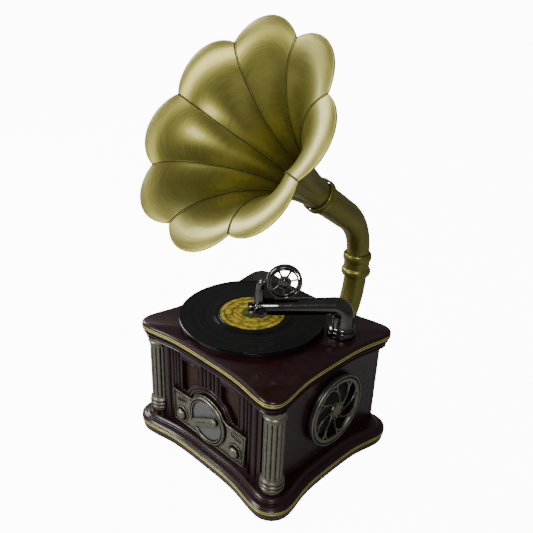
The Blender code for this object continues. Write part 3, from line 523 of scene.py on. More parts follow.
def bowed_outline(shape, inset, side_steps=40, corner_steps=14):
    """Round corners and sides that curve in by half a cosine wave."""
    half, corner, sag = shape
    reach = (half[0] - inset, half[1] - inset)
    radius = max(corner - 0.6 * inset, 2.0)
    points = []
    for quarter, (sign_x, sign_y) in enumerate(((1, -1), (1, 1), (-1, 1), (-1, -1))):
        start = QUARTER * (quarter - 1)
        centre = (sign_x * (reach[0] - radius), sign_y * (reach[1] - radius))
        for step in range(corner_steps + 1):
            angle = start + QUARTER * step / corner_steps
            points.append((centre[0] + radius * math.cos(angle),
                           centre[1] + radius * math.sin(angle)))
        across = quarter % 2
        run = reach[1 - across] - radius
        out = reach[across]
        for step in range(1, side_steps):
            share = -1.0 + 2.0 * step / side_steps
            depth = out - sag * 0.5 * (1.0 + math.cos(math.pi * share * share))
            side_point = Vector((depth, run * share))
            side_point.rotate(Matrix.Rotation(QUARTER * quarter, 2))
            points.append(tuple(side_point))
    return points


def moulding(shape, rows, rounds=1):
    rings = [[(x, y, height) for x, y in bowed_outline(shape, inset)]
             for height, inset in eased(rows, rounds)]
    return loft(rings)


def inlay(prefix, shape, middle, inset):
    """Two gold beads round a bowed outline with a dark line between and beside them."""
    for name, rise in (("upper", BEAD_RISE), ("lower", -BEAD_RISE)):
        path = [Vector((x, y, middle + rise)) for x, y in bowed_outline(shape, inset + 0.62)]
        shown(pipe(path, 0.55, 10, closed=True),
              f"{prefix}_inlay_{name}", "gold_inlay", "case", 60.0)
    for name, rise in (("core", 0.0), ("top_edge", EDGE_RISE), ("low_edge", -EDGE_RISE)):
        path = [Vector((x, y, middle + rise)) for x, y in bowed_outline(shape, inset + 0.66)]
        shown(pipe(path, 0.48, 8, closed=True),
              f"{prefix}_line_{name}", "dark_line", "case", 60.0)


# ================================================================ case
def build_case():
    rows = [(0.0, 2.2), (0.8, 1.5), (4.6, 1.1), (7.0, 0.6), (7.8, 0.35), (8.0, 0.9), (11.8, 0.9),
            (12.0, 0.35), (12.9, 0.5), (13.8, 1.9), (14.4, 2.4), (15.0, 4.0), (15.6, 6.4),
            (16.2, 6.9), (17.2, 7.2), (PLINTH_LEDGE, 9.2)]
    plinth = shown(moulding(PLINTH, rows), "plinth_body", "wine_wood", "case", 30.0)
    lip = 0.4
    welds = [block((-WALL_X - lip, WALL_FRONT - lip, 12.0),
                   (WALL_X + lip, WALL_BACK + lip, PLINTH_TOP))]
    for side in (-1, 1):
        disc = turned([(10.4, 12.0), (10.4, PLINTH_TOP)], 48, rounds=0)
        welds.append(moved(disc, at((side * COLUMN_PLACE[0], COLUMN_PLACE[1], 0.0))))
    carve(plinth, *welds, operation="UNION")
    carve(plinth, block((-65.0, -57.0, -5.0), (65.0, 57.0, PLINTH_TOP + 5.0)),
          block((-70.3, -62.3, -5.0), (70.3, 62.3, 2.7)))
    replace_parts(plinth, "plinth")
    inlay("plinth", PLINTH, 9.9, 0.15)

    rows = [(CROWN_BOTTOM, 3.4), (109.5, 3.2), (110.0, 4.7), (111.0, 4.7), (112.6, 2.9),
            (113.3, 1.9), (BOARD_BOTTOM - GAP, 1.7)]
    crown = shown(moulding(BOARD, rows), "crown_body", "wine_wood", "case", 30.0)
    carve(crown, block((-72.0, -64.0, 90.0), (72.0, 71.0, 130.0)))
    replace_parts(crown, "crown_moulding")
    rows = [(BOARD_BOTTOM, 2.6), (116.0, 2.0), (117.4, 0.6), (118.2, 0.35), (118.3, 0.9),
            (121.9, 0.9), (122.1, 0.35), (122.8, 0.5), (123.8, 1.2), (BOARD_TOP, 2.6)]
    board = shown(moulding(BOARD, rows), "board_body", "wine_wood", "case", 30.0)
    spindle_hole = moved(turned([(3.6, 100.0), (3.6, 140.0)], 40, rounds=0),
                         at((*SPIN_PLACE, 0.0)))
    arm_hole = moved(turned([(5.1, 100.0), (5.1, 140.0)], 40, rounds=0), at((*ARM_PLACE, 0.0)))
    carve(board, spindle_hole, arm_hole)
    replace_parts(board, "top_board")
    inlay("board", BOARD, 120.1, 0.15)
    for name in ("left_wall", "right_wall", "back_wall", "front_baffle"):
        soften = NODES[name].modifiers.new("soft_edges", "BEVEL")
        soften.width = 0.0004
        soften.segments = 2
        soften.limit_method = "ANGLE"


def build_columns():
    low = CASE_BOTTOM
    top = CASE_TOP
    rows = [(9.6, low), (9.9, low + 0.4), (9.9, low + 2.2), (9.4, low + 2.8), (11.0, low + 3.6),
            (11.5, low + 4.7), (11.0, low + 5.8), (9.9, low + 6.6), (11.0, low + 7.6),
            (11.4, low + 8.6), (11.0, low + 9.6), (9.8, low + 10.4), (10.7, low + 11.6),
            (10.9, low + 12.6), (10.2, low + 13.6), (9.5, low + 14.6)]
    base = [(radius, height, 0.0) for radius, height in eased(rows, 2)]
    rows = [(9.4, top - 10.4), (9.2, top - 9.4), (10.2, top - 8.4), (10.6, top - 7.4),
            (10.2, top - 6.4), (9.3, top - 5.6), (9.3, top - 2.4), (10.0, top - 1.6), (10.0, top)]
    head = [(radius, height, 0.0) for radius, height in eased(rows, 2)]
    start = low + 15.0
    end = top - 11.0
    shaft = [(9.2, start, 0.0), (9.2, start + 1.2, 0.7), (9.2, start + 2.4, 1.0),
             (9.2, end - 2.4, 1.0), (9.2, end - 1.2, 0.7), (9.2, end, 0.0)]
    segments = 12 * 12
    rings = []
    for radius, height, depth in base + shaft + head:
        ring = []
        for i in range(segments):
            angle = TURN * i / segments
            reed = abs(math.sin(6.0 * angle)) ** 0.7
            reach = radius - 1.25 * depth * (1.0 - reed)
            ring.append((reach * math.cos(angle), reach * math.sin(angle), height))
        rings.append(ring)
    for side, name in ((-1, "left"), (1, "right")):
        mesh = moved(loft(rings), at((side * COLUMN_PLACE[0], COLUMN_PLACE[1], 0.0)))
        stand_in(mesh, f"corner_column_{name}", f"column_{name}", "pewter", "case", 50.0)


def half_round(name, x, low, high, radius):
    """An upright half-round reed planted on the baffle."""
    path = [Vector((x, WALL_FRONT, low)), Vector((x, WALL_FRONT, low + 0.6)),
            Vector((x, WALL_FRONT, high - 0.6)), Vector((x, WALL_FRONT, high))]
    shown(pipe(path, [radius * 0.6, radius, radius, radius * 0.6], 20), name,
          "wine_wood", "case", 50.0)


def window_outline(side, grow):
    inner = 15.5 - grow
    outer = 39.0 + grow
    sill = 65.0 - grow
    arch = 34.5 - grow
    start = math.acos(inner / arch)
    end = math.asin((sill - DIAL_Z) / arch)
    points = []
    for step in range(13):
        angle = start + (end - start) * step / 12
        points.append((arch * math.cos(angle), DIAL_Z + arch * math.sin(angle)))
    points += [(outer, sill), (outer, 99.5 + 0.5 * grow), (inner, 99.5 + 0.5 * grow)]
    return [(side * x, z) for x, z in points]


def build_front():
    """Wooden arch, reeds and window frames on the baffle, and the two cloths."""
    centre = Vector((0.0, WALL_FRONT, DIAL_Z))
    side = Vector((1.0, 0.0, 0.0))
    up = Vector((0.0, 0.0, 1.0))
    for index, (radius, thick) in enumerate(((29.4, 1.5), (33.0, 1.1))):
        path = arc(centre, side * radius, up * radius, math.radians(24.0), math.radians(156.0), 60)
        shown(pipe(path, thick, 16), f"arch_band_{index + 1}", "wine_wood", "case", 50.0)
    for index in range(5):
        x = (index - 2) * 5.4
        low = DIAL_Z + math.sqrt(34.6 ** 2 - x * x)
        half_round(f"centre_reed_{index + 1}", x, low, 107.8, 1.7 if index % 2 else 2.1)
    for side_sign, name in ((-1, "left"), (1, "right")):
        for index, x in enumerate((44.2, 48.4, 52.6)):
            low = 63.5 if x < 51.0 else 21.4
            half_round(f"pilaster_{name}_{index + 1}", side_sign * x, low, 107.8, 1.6)
        half_round(f"post_reed_{name}", side_sign * 59.5, 21.4, 107.8, 2.2)
        outline = window_outline(side_sign, 0.3)
        path = [Vector((x, WALL_FRONT, z)) for x, z in outline]
        shown(pipe(path, 0.9, 10, closed=True), f"window_frame_{name}", "wine_wood", "case", 60.0)
        cut = window_outline(side_sign, 3.0)
        plane_y = WALL_FRONT + 5.0 + 0.6
        verts = [(x, plane_y, z) for x, z in cut]
        mesh = mesh_of(verts, [tuple(range(len(verts)))])
        cloth = shown(mesh, f"cloth_{name}", "speaker_cloth", "case")
        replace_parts(cloth, f"speaker_cloth_{name}")


# ================================================================ controls
def plate_outline(inset):
    shoulder = math.radians(30.0)
    rim = DIAL_RADIUS + 1.4 - inset
    half = PLATE_HALF - inset
    low = PLATE_BOTTOM + inset
    high = PLATE_TOP - 1.2 * inset
    points = [(2.0 - half, low), (half - 2.0, low), (half, high)]
    shoulder_x = rim * math.cos(shoulder)
    shoulder_z = DIAL_Z + rim * math.sin(shoulder)
    points.append((shoulder_x + 5.0, shoulder_z - 2.0))
    for step in range(33):
        angle = shoulder + (math.pi - 2.0 * shoulder) * step / 32
        points.append((rim * math.cos(angle), DIAL_Z + rim * math.sin(angle)))
    points.append((-shoulder_x - 5.0, shoulder_z - 2.0))
    points.append((-half, high))
    return points


def build_controls():
    facing = (QUARTER, 0.0, 0.0)
    path = [Vector((x, PLATE_FACE, z)) for x, z in plate_outline(1.1)]
    shown(pipe(path, 0.95, 12, closed=True), "plate_border", "pewter", "case", 60.0)
    path = [Vector((x, PLATE_FACE, z)) for x, z in plate_outline(3.4)]
    shown(pipe(path, 0.4, 8, closed=True), "plate_bead", "pewter", "case", 60.0)
    base_y = WALL_FRONT - GAP
    front = DIAL_FRONT
    edge = DIAL_RADIUS - DIAL_RIM
    dial = at((0.0, base_y, DIAL_Z), facing)
    ring = turned([(edge, front), (DIAL_RADIUS, front), (DIAL_RADIUS, front + 1.6),
                   (DIAL_RADIUS - 1.0, front + 2.8), (DIAL_RADIUS - 1.9, front + 2.7),
                   (DIAL_RADIUS - 2.3, front + 1.6), (DIAL_RADIUS - 2.7, front + 1.6),
                   (DIAL_RADIUS - 3.1, front + 2.9), (edge + 0.5, front + 2.8),
                   (edge, front + 1.8)], 128, hollow=True, rounds=1)
    stand_in(moved(ring, dial), "dial_ring", "dial_bezel", "pewter", "case", 50.0)
    disc = turned([(2.7, front), (edge - GAP, front), (edge - GAP, front + 1.1),
                   (edge - 1.6, front + 1.3), (2.7, front + 1.4)], 96, hollow=True, rounds=1)
    stand_in(moved(disc, dial), "dial_disc", "dial_face", "frosted_disc", "case")

    bar_place = dial @ at((0.0, 0.0, 0.0), (0.0, 0.0, BAR_REST))
    low = front + 1.7
    half = edge - 1.0
    wide = 4.0
    rows = []
    for height, inset in eased([(low, 0.5), (low + 0.6, 0.0), (low + 3.0, 0.0),
                                (low + 4.4, 1.1), (low + 4.4, 2.2)], 2):
        rows.append([(x, y, height) for x, y in stadium(half - wide, wide - inset, 16)])
    bar = moved(loft(rows), bar_place)
    stand_in(bar, "tuning_knob", "tuning_bar", "pewter", "tuning", 40.0)
    shaft = turned([(2.4, -9.0), (2.4, low + 0.5)], 32, rounds=0)
    shown(moved(shaft, dial), "tuning_shaft", "pewter", "tuning")
    crest = [Vector((x, 0.0, low + 4.3)) for x in (-14.0, -12.0, 12.0, 14.0)]
    ridge = moved(pipe(crest, [0.3, 0.8, 0.8, 0.3], 10), bar_place)
    shown(ridge, "tuning_ridge", "pewter", "tuning", 60.0)

    for body, side in (("volume", -1), ("mode", 1)):
        pivot = at((side * KNOB_X, base_y, KNOB_Z), facing)
        dome = turned([(2.4, -9.0), (2.4, front), (5.6, front), (5.6, front + 1.4),
                       (5.2, front + 2.8), (3.8, front + 4.2), (1.6, front + 5.0),
                       (0.3, front + 5.0)], 64, rounds=2)
        stand_in(moved(dome, pivot), f"{body}_knob", f"{body}_dome", "pewter", body, 50.0)
        skirt = turned([(6.2, front - 0.3), (8.2, front - 0.3), (8.2, front + 0.3),
                        (7.4, front + 0.8), (6.2, front + 0.3)], 64, hollow=True, rounds=1)
        shown(moved(skirt, pivot), f"{body}_skirt", "pewter", "case", 50.0)
        slot = stadium(4.2, 2.1, 8)
        slot_path = [Vector((x, y, 2.1)) for x, y in slot]
        tilt = at((side * 37.6, base_y, 53.4), facing) @ at((0, 0, 0), (0, 0, side * -0.28))
        rim = moved(pipe(slot_path, 0.5, 8, closed=True), tilt)
        shown(rim, f"{body}_slot_rim", "pewter", "case", 60.0)
        floor = prism([(x * 0.97, y * 0.93) for x, y in slot], 1.9, 2.15)
        shown(moved(floor, tilt), f"{body}_slot_shadow", "dark_line", "case")


# ================================================================ side grilles
def build_grilles():
    face = GRILLE_FACE
    lip = GRILLE_LIP
    hole = GRILLE_HOLE
    rim = GRILLE_RIM
    ribs = 8
    boss_edge = 7.0
    fork = 0.70
    swirl = math.radians(38.0)
    for side, name in ((-1, "left"), (1, "right")):
        frame = at((0.0, GRILLE_Y, GRILLE_Z), (0.0, QUARTER * side, 0.0))
        ring = turned([(hole, lip), (rim, lip), (rim, face - 1.0), (rim - 0.6, face - 0.1),
                       (rim - 1.6, face - 0.1), (rim - 2.2, face - 1.3),
                       (rim - 2.8, face - 1.3), (rim - 3.4, face - 0.2),
                       (hole + 1.4, face - 0.1), (hole + 0.4, face - 0.6),
                       (hole, face - 1.4)], 128, hollow=True, rounds=1)
        stand_in(moved(ring, frame), f"side_grille_{name}", f"grille_ring_{name}", "pewter", "case",
                 50.0)
        for rib in range(ribs):
            for branch, spread in (("a", -0.16), ("b", 0.16)):
                path = []
                radii = []
                for step in range(15):
                    share = step / 14
                    radius = boss_edge + (hole + 1.4 - boss_edge) * share
                    angle = TURN * (rib + 0.5) / ribs + swirl * share ** 0.8
                    if share > fork:
                        angle += spread * ((share - fork) / (1.0 - fork)) ** 1.2
                    path.append(Vector((radius * math.cos(angle), radius * math.sin(angle),
                                        face - 1.1)))
                    radii.append(1.25 - 0.35 * share)
                shown(moved(pipe(path, radii, 12), frame),
                      f"grille_rib_{name}_{rib + 1}{branch}", "pewter", "case", 60.0)
        boss = turned([(9.2, lip), (9.2, face - 1.6), (8.6, face - 0.6), (7.0, face - 0.5),
                       (6.6, face - 0.9), (6.0, face - 0.5), (3.0, face - 0.1),
                       (0.3, face - 0.1)], 64, rounds=1)
        shown(moved(boss, frame), f"grille_boss_{name}", "pewter", "case", 50.0)
        leaf = [Vector((x, 0.0, face - 0.6)) for x in (-5.4, -3.0, 0.0, 3.0, 5.4)]
        bar = moved(pipe(leaf, [0.2, 0.55, 0.7, 0.55, 0.2], 12),
                    frame @ at((0, 0, 0), (0, 0, 0.6)))
        shown(bar, f"grille_leaf_{name}", "pewter", "case", 60.0)
        housing = turned([(31.0, 79.8), (35.4, 79.8), (35.4, lip - GAP),
                          (31.0, lip - GAP)], 96, hollow=True, rounds=1)
        stand_in(moved(housing, frame), f"grille_housing_{name}", f"housing_{name}",
                 "black_plastic", "case", 50.0)


# ================================================================ turntable
def build_turntable():
    centre = at((*SPIN_PLACE, 0.0))
    low = BOARD_TOP + 0.6
    seat = RECORD_TOP - 2.1
    platter = turned([(SPIN_BORE, low), (66.0, low), (67.5, low + 0.7), (67.5, seat),
                      (SPIN_BORE, seat)], 160, hollow=True, rounds=1)
    stand_in(moved(platter, centre), "platter", "platter_disc", "black_plastic", "turntable", 40.0)
    under = seat + GAP
    top = RECORD_TOP
    edge = RECORD_RADIUS
    profile = [(SPIN_BORE, under), (edge - 1.0, under), (edge, under + 0.5), (edge, top - 0.5),
               (edge - 0.7, top), (edge - 2.4, top), (edge - 3.0, top - 0.25),
               (edge - 3.4, top - 0.25), (36.4, top - 0.25), (36.0, top - 0.05),
               (35.2, top - 0.05), (34.8, top - 0.25), (33.2, top - 0.25), (32.8, top),
               (SPIN_BORE, top)]
    stand_in(moved(turned(profile, 192, hollow=True, rounds=1), centre), "record",
             "record_disc", "vinyl", "turntable", 40.0)
    paper = top + GAP
    label = turned([(SPIN_BORE, paper), (LABEL_RADIUS, paper), (LABEL_RADIUS, paper + PAPER),
                    (SPIN_BORE, paper + PAPER)], 128, hollow=True, rounds=0)
    stand_in(moved(label, centre), "record_label", "label_disc", "label_paper", "turntable", 40.0)
    pin = turned([(3.0, 106.0), (3.0, paper + 1.3), (2.2, paper + 2.5), (0.3, paper + 3.1)],
                 48, rounds=1)
    stand_in(moved(pin, centre), "spindle", "spindle_pin", "steel", "turntable", 40.0)


# ================================================================ tonearm
def build_arm():
    frame = at((*ARM_PLACE, 0.0), (0.0, 0.0, ARM_HEADING))
    low = BOARD_TOP + GAP
    base = turned([(4.8, low), (13.0, low), (13.6, low + 0.8), (13.6, low + 3.0),
                   (12.8, low + 3.5), (12.3, low + 3.7), (12.3, FLANGE_TOP - 0.4),
                   (11.9, FLANGE_TOP), (4.8, FLANGE_TOP)], 96, hollow=True, rounds=1)
    stand_in(moved(base, frame), "arm_base", "arm_flange", "dark_chrome", "case", 40.0)
    start = FLANGE_TOP + GAP
    rows = [(110.0, 4.5), (start, 4.5), (start + 0.02, 12.0), (start + 0.5, 12.5),
            (start + 1.3, 12.5), (start + 1.9, 11.6), (start + 2.6, 10.9), (start + 3.6, 10.4)]
    path = [Vector((0.0, 0.0, height)) for height, _ in rows]
    radii = [radius for _, radius in rows]
    bend = arc(Vector((10.5, 0.0, ARM_Z - 10.5)), Vector((-10.5, 0.0, 0.0)),
               Vector((0.0, 0.0, 10.5)), 0.0, QUARTER, 20)
    for step, point in enumerate(bend):
        path.append(point)
        radii.append(10.4 - 2.0 * step / 20)
    end = ARM_LENGTH + 5.2
    for along, radius in ((12.5, ARM_RADIUS + 0.3), (24.0, ARM_RADIUS), (60.0, ARM_RADIUS),
                          (end - 2.4, ARM_RADIUS), (end - 1.0, ARM_RADIUS - 0.5),
                          (end, ARM_RADIUS - 1.4)):
        path.append(Vector((along, 0.0, ARM_Z)))
        radii.append(radius)
    arm = shown(moved(pipe(path, radii, 56), frame), "arm_tube", "dark_chrome", "arm", 45.0)
    head = frame @ at((ARM_LENGTH, 0.0, ARM_Z))
    across = at((0, 0, 0), (-QUARTER, 0.0, 0.0))
    slot = moved(block((-13.0, -5.6, -20.0), (20.0, 5.6, 20.0)), head)
    holes = moved(turned([(FORK_BORE, -20.0), (FORK_BORE, 20.0)], 40, rounds=0), head @ across)
    carve(arm, slot, holes)
    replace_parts(arm, "tonearm")
    pin = turned([(4.6, -9.4), (4.6, -8.2), (3.0, -8.2), (3.0, 8.2), (5.9, 8.2),
                  (5.9, 10.0), (5.3, 10.6), (4.6, 10.2), (3.6, 9.9), (0.3, 9.9)], 56, rounds=1)
    stand_in(moved(pin, head @ across), "head_pin", "fork_pin", "dark_chrome", "arm", 40.0)
    build_head(head, across)


def build_head(head, across):
    knuckle = turned([(6.4, -5.1), (6.4, 5.1)], 64, rounds=0)
    knuckle = shown(moved(knuckle, head @ across), "head_knuckle", "dark_chrome", "head", 40.0)
    centre = Vector((-20.9, 2.0, 26.3))
    rim = WHEEL_RIM
    tip = centre + Vector((rim + 0.8, 0.0, 0.0))
    path = [Vector((0.6, 0.0, 2.0)), Vector((0.6, 0.0, 8.0)), Vector((0.5, 0.2, 15.0)),
            Vector((0.5, 0.8, 20.0)), tip + Vector((3.6, -0.5, -2.4)),
            tip + Vector((1.9, -0.1, -0.4)), tip]
    smooth = eased([(p.x, p.y, p.z) for p in path], 3)
    radii = [radius for radius, _ in eased([(r, 0.0) for r in (4.8, 4.8, 4.1, 3.6, 3.3, 3.1, 3.0)],
                                           3)]
    stem = moved(pipe(smooth, radii, 40), head)
    grip = turned([(3.0, 4.0), (4.4, 7.0), (4.4, 10.4), (3.8, 10.8)], 48, rounds=1)
    grip = moved(grip, head @ at((0, 0, 0), (0.0, QUARTER, 0.0)))
    carve(knuckle, stem, grip, operation="UNION")
    carve(knuckle, moved(turned([(FORK_BORE, -20.0), (FORK_BORE, 20.0)], 40, rounds=0),
                         head @ across))
    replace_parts(knuckle, "gooseneck")
    place = head @ at(centre, (-QUARTER, 0.0, 0.0))
    ring = turned([(rim - 2.6, -3.4), (rim - 0.6, -3.4), (rim, -2.6), (rim, 2.4),
                   (rim - 0.5, 3.5), (rim - 1.5, 3.6), (rim - 2.6, 3.0)], 96, hollow=True,
                  rounds=2)
    stand_in(moved(ring, place), "sound_box_ring", "wheel_ring", "dark_chrome", "head", 50.0)
    web = rim - 2.9
    hoop = turned([(web - 1.7, 0.4), (web, 0.4), (web, 2.4), (web - 1.7, 2.4)], 96,
                  hollow=True, rounds=1)
    stand_in(moved(hoop, place), "sound_box_spider", "wheel_web", "dark_chrome", "head", 50.0)
    boss = turned([(6.0, 0.4), (6.3, 0.9), (6.3, 2.2), (5.8, 3.0), (0.3, 3.0)], 64, rounds=1)
    shown(moved(boss, place), "wheel_boss", "dark_chrome", "head", 50.0)
    for index in range(WHEEL_SPOKES):
        angle = QUARTER + TURN * index / WHEEL_SPOKES
        heading = Vector((math.cos(angle), math.sin(angle), 0.0))
        spoke = [heading * 5.0 + Vector((0, 0, 1.4)), heading * (web - 0.8) + Vector((0, 0, 1.4))]
        shown(moved(pipe(spoke, 1.0, 16), place), f"wheel_spoke_{index + 1}",
              "dark_chrome", "head", 60.0)
    hub = turned([(4.4, 3.3), (4.4, 4.2), (3.4, 4.9), (1.0, 5.2), (0.2, 5.2)], 56, rounds=1)
    stand_in(moved(hub, place), "sound_box_hub", "wheel_hub", "dark_chrome", "head", 50.0)


# ================================================================ horn
def build_neck():
    reach = 9.0
    lean = math.radians(25.6)
    upper = 111.0
    upright = 134.5
    lower = ((NECK_Y - WALL_BACK - reach - upper * (1.0 - math.cos(lean))) / math.cos(lean))
    socket_z = upright - upper * math.sin(lean) - lower * (1.0 - math.sin(lean))
    rear = at((0.0, WALL_BACK, socket_z), (-QUARTER, 0.0, 0.0))
    hole = COLLAR_BORE
    socket = turned([(10.2, GAP), (20.0, GAP), (20.0, 2.8), (15.2, 4.2), (14.8, 6.8),
                     (15.8, 8.8), (hole, 8.8), (hole, 3.4), (10.2, 3.4)], 80,
                    hollow=True, rounds=1)
    stand_in(moved(socket, rear), "horn_socket", "socket_flange", "brass_paint", "case", 40.0)
    back = Vector((0.0, 1.0, 0.0))
    up = Vector((0.0, 0.0, 1.0))
    start = Vector((0.0, WALL_BACK + reach, socket_z))
    path = [start - back * (reach - 3.7)]
    turn = QUARTER - lean
    path += arc(start + up * lower, back * lower, up * lower, -QUARTER, turn - QUARTER, 24)
    centre = Vector((0.0, NECK_Y - upper, upright))
    path += arc(centre, back * upper, up * upper, -lean, 0.0, 14)[1:]
    path.append(Vector((0.0, NECK_Y, NECK_SPLIT[0])))
    stand_in(pipe(path, NECK_RADIUS, 64, wall=NECK_WALL), "lower_neck", "neck_tube", "brass_paint",
             "case", 40.0)
    collar = turned([(hole, 133.0), (14.2, 133.0), (15.2, 133.6), (15.9, 135.4),
                     (15.9, 138.6), (15.2, 140.4), (14.1, 141.2), (13.9, 143.0),
                     (13.9, 148.4), (14.1, 150.0), (15.0, 150.8), (15.4, 152.6),
                     (15.4, 155.6), (15.0, 157.4), (14.2, COLLAR_TOP), (hole, COLLAR_TOP)], 80,
                    hollow=True, rounds=2)
    stand_in(moved(collar, at((0.0, NECK_Y, 0.0))), "neck_collar", "collar_ring", "brass_paint",
             "case", 50.0)


def horn_axes():
    heading = Vector((math.cos(HORN_TILT), 0.0, math.sin(HORN_TILT)))
    throat = Vector((0.0, 0.0, AXES_MEET_Z)) + heading * THROAT_AT
    side = Vector((0.0, 1.0, 0.0))
    return (side, heading.cross(side), heading), throat


def build_horn():
    frame = at((0.0, NECK_Y, 0.0), (0.0, 0.0, HORN_HEADING))
    axes, throat = horn_axes()
    heading = axes[2]
    turn = QUARTER - HORN_TILT
    radius = 58.3
    start = AXES_MEET_Z - radius * math.tan(0.5 * turn)
    path = [Vector((0.0, 0.0, NECK_SPLIT[1])), Vector((0.0, 0.0, COLLAR_TOP))]
    path += arc(Vector((radius, 0.0, start)), Vector((-radius, 0.0, 0.0)),
                Vector((0.0, 0.0, radius)), 0.0, turn, 32)
    last = path[-1]
    path += [last.lerp(throat, share) for share in (0.25, 0.5, 0.75, 1.0)]
    swell = len(path) - 3
    swell_by = THROAT_RADIUS - NECK_RADIUS
    radii = [NECK_RADIUS, NECK_RADIUS]
    radii += [NECK_RADIUS + swell_by * (step / swell) ** 2 for step in range(swell + 1)]
    elbow = moved(pipe(path, radii, 72, wall=NECK_WALL), frame)
    stand_in(elbow, "horn_elbow", "elbow_tube", "brass_paint", "horn", 40.0)
    level = frame @ at(throat, (0.0, QUARTER - HORN_TILT, 0.0))
    hole = THROAT_RADIUS + 0.5
    ring = turned([(hole, -4.6), (16.6, -4.6), (17.6, -4.0), (17.9, -2.8), (17.4, -1.6),
                   (16.7, -0.8), (16.7, 0.6), (17.2, 1.4), (17.6, 2.6), (17.2, 3.8),
                   (16.6, 4.6), (hole, 4.6)], 96, hollow=True, rounds=2)
    stand_in(moved(ring, level), "throat_ring", "throat_bead", "brass_paint", "horn", 50.0)
    build_bell(frame, axes, throat)


def bell_point(origin, axes, share, angle):
    side, up, heading = axes
    pitch = TURN / BELL_PETALS
    across = ((angle - BELL_TURN) / pitch) % 1.0 * 2.0 - 1.0
    crown = 1.0 - across * across
    radius = THROAT_RADIUS + (BELL_SEAM - THROAT_RADIUS) * share ** BELL_FLARE
    radius += (BELL_PETAL - BELL_SEAM) * crown * share ** BELL_BULGE
    forward = BELL_LENGTH * share + BELL_TIP * crown * share ** 4
    roll = BELL_ROLL * (BELL_ROLL_SEAM + (1.0 - BELL_ROLL_SEAM) * crown)
    forward += roll * (share ** 2.5 - share ** 8)
    rim = side * math.cos(angle) + up * math.sin(angle)
    return origin + heading * forward + rim * radius


def bell_normal(origin, axes, share, angle):
    nudge = 0.002
    along = bell_point(origin, axes, share + nudge, angle)
    along -= bell_point(origin, axes, share - nudge, angle)
    round_way = bell_point(origin, axes, share, angle + nudge)
    round_way -= bell_point(origin, axes, share, angle - nudge)
    return round_way.cross(along).normalized()


def build_bell(frame, axes, throat):
    """Eight bulging petals with raised double seams inside, single ridges outside, a rolled rim."""
    origin = throat + axes[2] * GAP
    petal_steps = 26
    segments = BELL_PETALS * petal_steps
    levels = 72
    shares = [(level / levels) ** 0.8 for level in range(levels + 1)]
    outer = []
    inner = []
    for share in shares:
        outer_ring = []
        inner_ring = []
        for i in range(segments):
            angle = BELL_TURN + TURN * i / segments
            point = bell_point(origin, axes, share, angle)
            normal = bell_normal(origin, axes, min(max(share, 0.01), 0.998), angle)
            outer_ring.append(tuple(point))
            inner_ring.append(tuple(point - normal * BELL_WALL))
        outer.append(outer_ring)
        inner.append(inner_ring)
    stand_in(moved(loft(outer + inner[::-1], ends="loop"), frame), "horn_bell",
             "bell_petals", "brass_paint", "horn", 34.0)
    rim = []
    for i in range(segments):
        angle = BELL_TURN + TURN * i / segments
        point = bell_point(origin, axes, 1.0, angle)
        normal = bell_normal(origin, axes, 0.998, angle)
        rim.append(point - normal * 0.5 * BELL_WALL - (side_of(axes, angle) * 0.75))
    shown(moved(pipe(rim, 0.72, 12, closed=True), frame), "bell_rim", "seam_edge", "horn", 60.0)
    for index in range(BELL_PETALS):
        angle = BELL_TURN + TURN * index / BELL_PETALS
        build_seam(frame, axes, origin, index, angle)


def side_of(axes, angle):
    return axes[0] * math.cos(angle) + axes[1] * math.sin(angle)


def build_seam(frame, axes, origin, index, angle):
    """Two bright beads either side of a dark line inside, and one ridge outside."""
    round_way = (axes[1] * math.cos(angle) - axes[0] * math.sin(angle)).normalized()
    steps = 60
    for name, shift, lift, thick, finish in (("left", -0.75, 1.35, 0.34, "seam_edge"),
                                             ("right", 0.75, 1.2, 0.28, "seam_edge"),
                                             ("groove", 0.0, 1.35, 0.62, "seam_line"),
                                             ("outside", 0.0, -0.1, 0.5, "seam_edge")):
        path = []
        radii = []
        for step in range(steps + 1):
            share = 0.015 + 0.98 * (step / steps) ** 0.85
            size = 0.45 + 0.55 * share
            before = bell_normal(origin, axes, min(share, 0.995), angle - 0.01)
            after = bell_normal(origin, axes, min(share, 0.995), angle + 0.01)
            normal = (before + after).normalized()
            point = bell_point(origin, axes, share, angle)
            path.append(point - normal * (lift + 0.15 * (1.0 - share)) + round_way * shift * size)
            radii.append(thick * size)
        shown(moved(pipe(path, radii, 8), frame), f"seam_{index + 1}_{name}", finish,
              "horn", 60.0)


# ================================================================ stage
def build_stage():
    verts = [(-4000.0, -4000.0, -2.0), (4000.0, -4000.0, -2.0), (4000.0, 4000.0, -2.0),
             (-4000.0, 4000.0, -2.0)]
    mesh = mesh_of(verts, [(0, 1, 2, 3)])
    mesh.materials.append(floor_finish())
    floor = bpy.data.objects.new("studio_floor", mesh)
    bpy.context.scene.collection.objects.link(floor)


def soft_light(name, place, size, power, aim=(0.0, 0.0, 0.15)):
    data = bpy.data.lights.new(name, "AREA")
    data.shape = "RECTANGLE"
    data.size, data.size_y = size
    data.energy = power
    lamp = bpy.data.objects.new(name, data)
    bpy.context.scene.collection.objects.link(lamp)
    lamp.location = place
    lamp.rotation_euler = (Vector(aim) - Vector(place)).to_track_quat("-Z", "Y").to_euler()
    return lamp


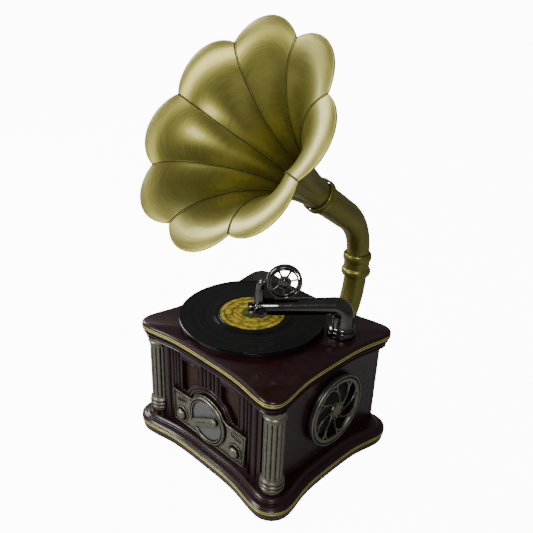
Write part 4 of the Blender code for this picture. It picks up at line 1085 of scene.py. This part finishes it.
def build_light():
    world = bpy.data.worlds.new("studio")
    bpy.context.scene.world = world
    world.use_nodes = True
    tree = world.node_tree
    sky = tree.nodes["Background"]
    seen = tree.nodes.new("ShaderNodeLightPath")
    span = tree.nodes.new("ShaderNodeMapRange")
    span.inputs["To Min"].default_value = FILL
    span.inputs["To Max"].default_value = WHITE
    tree.links.new(seen.outputs["Is Camera Ray"], span.inputs["Value"])
    tree.links.new(span.outputs["Result"], sky.inputs["Strength"])
    sky.inputs["Color"].default_value = (1.0, 1.0, 1.0, 1.0)
    soft_light("front_left", (-0.55, -1.15, 0.85), (0.6, 0.5), 12.0, (0.0, 0.0, 0.25))
    soft_light("front_right", (0.85, -0.85, 1.15), (0.4, 0.4), 8.0, (0.0, 0.0, 0.25))
    soft_light("left", (-1.3, -0.1, 0.85), (0.5, 0.6), 10.0, (0.0, 0.0, 0.25))


def build_camera():
    azimuth = math.radians(43.34)
    elevation = math.radians(25.61)
    roll = math.radians(2.24)
    back = Vector((math.sin(azimuth) * math.cos(elevation),
                   -math.cos(azimuth) * math.cos(elevation), math.sin(elevation)))
    level = Vector((math.cos(azimuth), math.sin(azimuth), 0.0))
    up = back.cross(level)
    right = level * math.cos(roll) + up * math.sin(roll)
    above = up * math.cos(roll) - level * math.sin(roll)
    data = bpy.data.cameras.new("camera")
    data.lens = 42.07
    data.sensor_width = 36.0
    camera = bpy.data.objects.new("camera", data)
    bpy.context.scene.collection.objects.link(camera)
    placement = Matrix((right, above, back)).transposed().to_4x4()
    placement.translation = Vector((0.3503, -0.3744, 0.4313))
    camera.matrix_world = placement
    bpy.context.scene.camera = camera


def dress_nodes():
    """Give every CAD node its slot's material."""
    for part in FRAME["record"]["subparts"]:
        node = NODES[part["node"]]
        node.data.materials.clear()
        node.data.materials.append(MATERIALS[part["material_slot"]])


def main():
    dress_nodes()
    build_case()
    build_columns()
    build_front()
    build_controls()
    build_grilles()
    build_turntable()
    build_arm()
    build_neck()
    build_horn()
    build_stage()
    build_light()
    build_camera()


main()
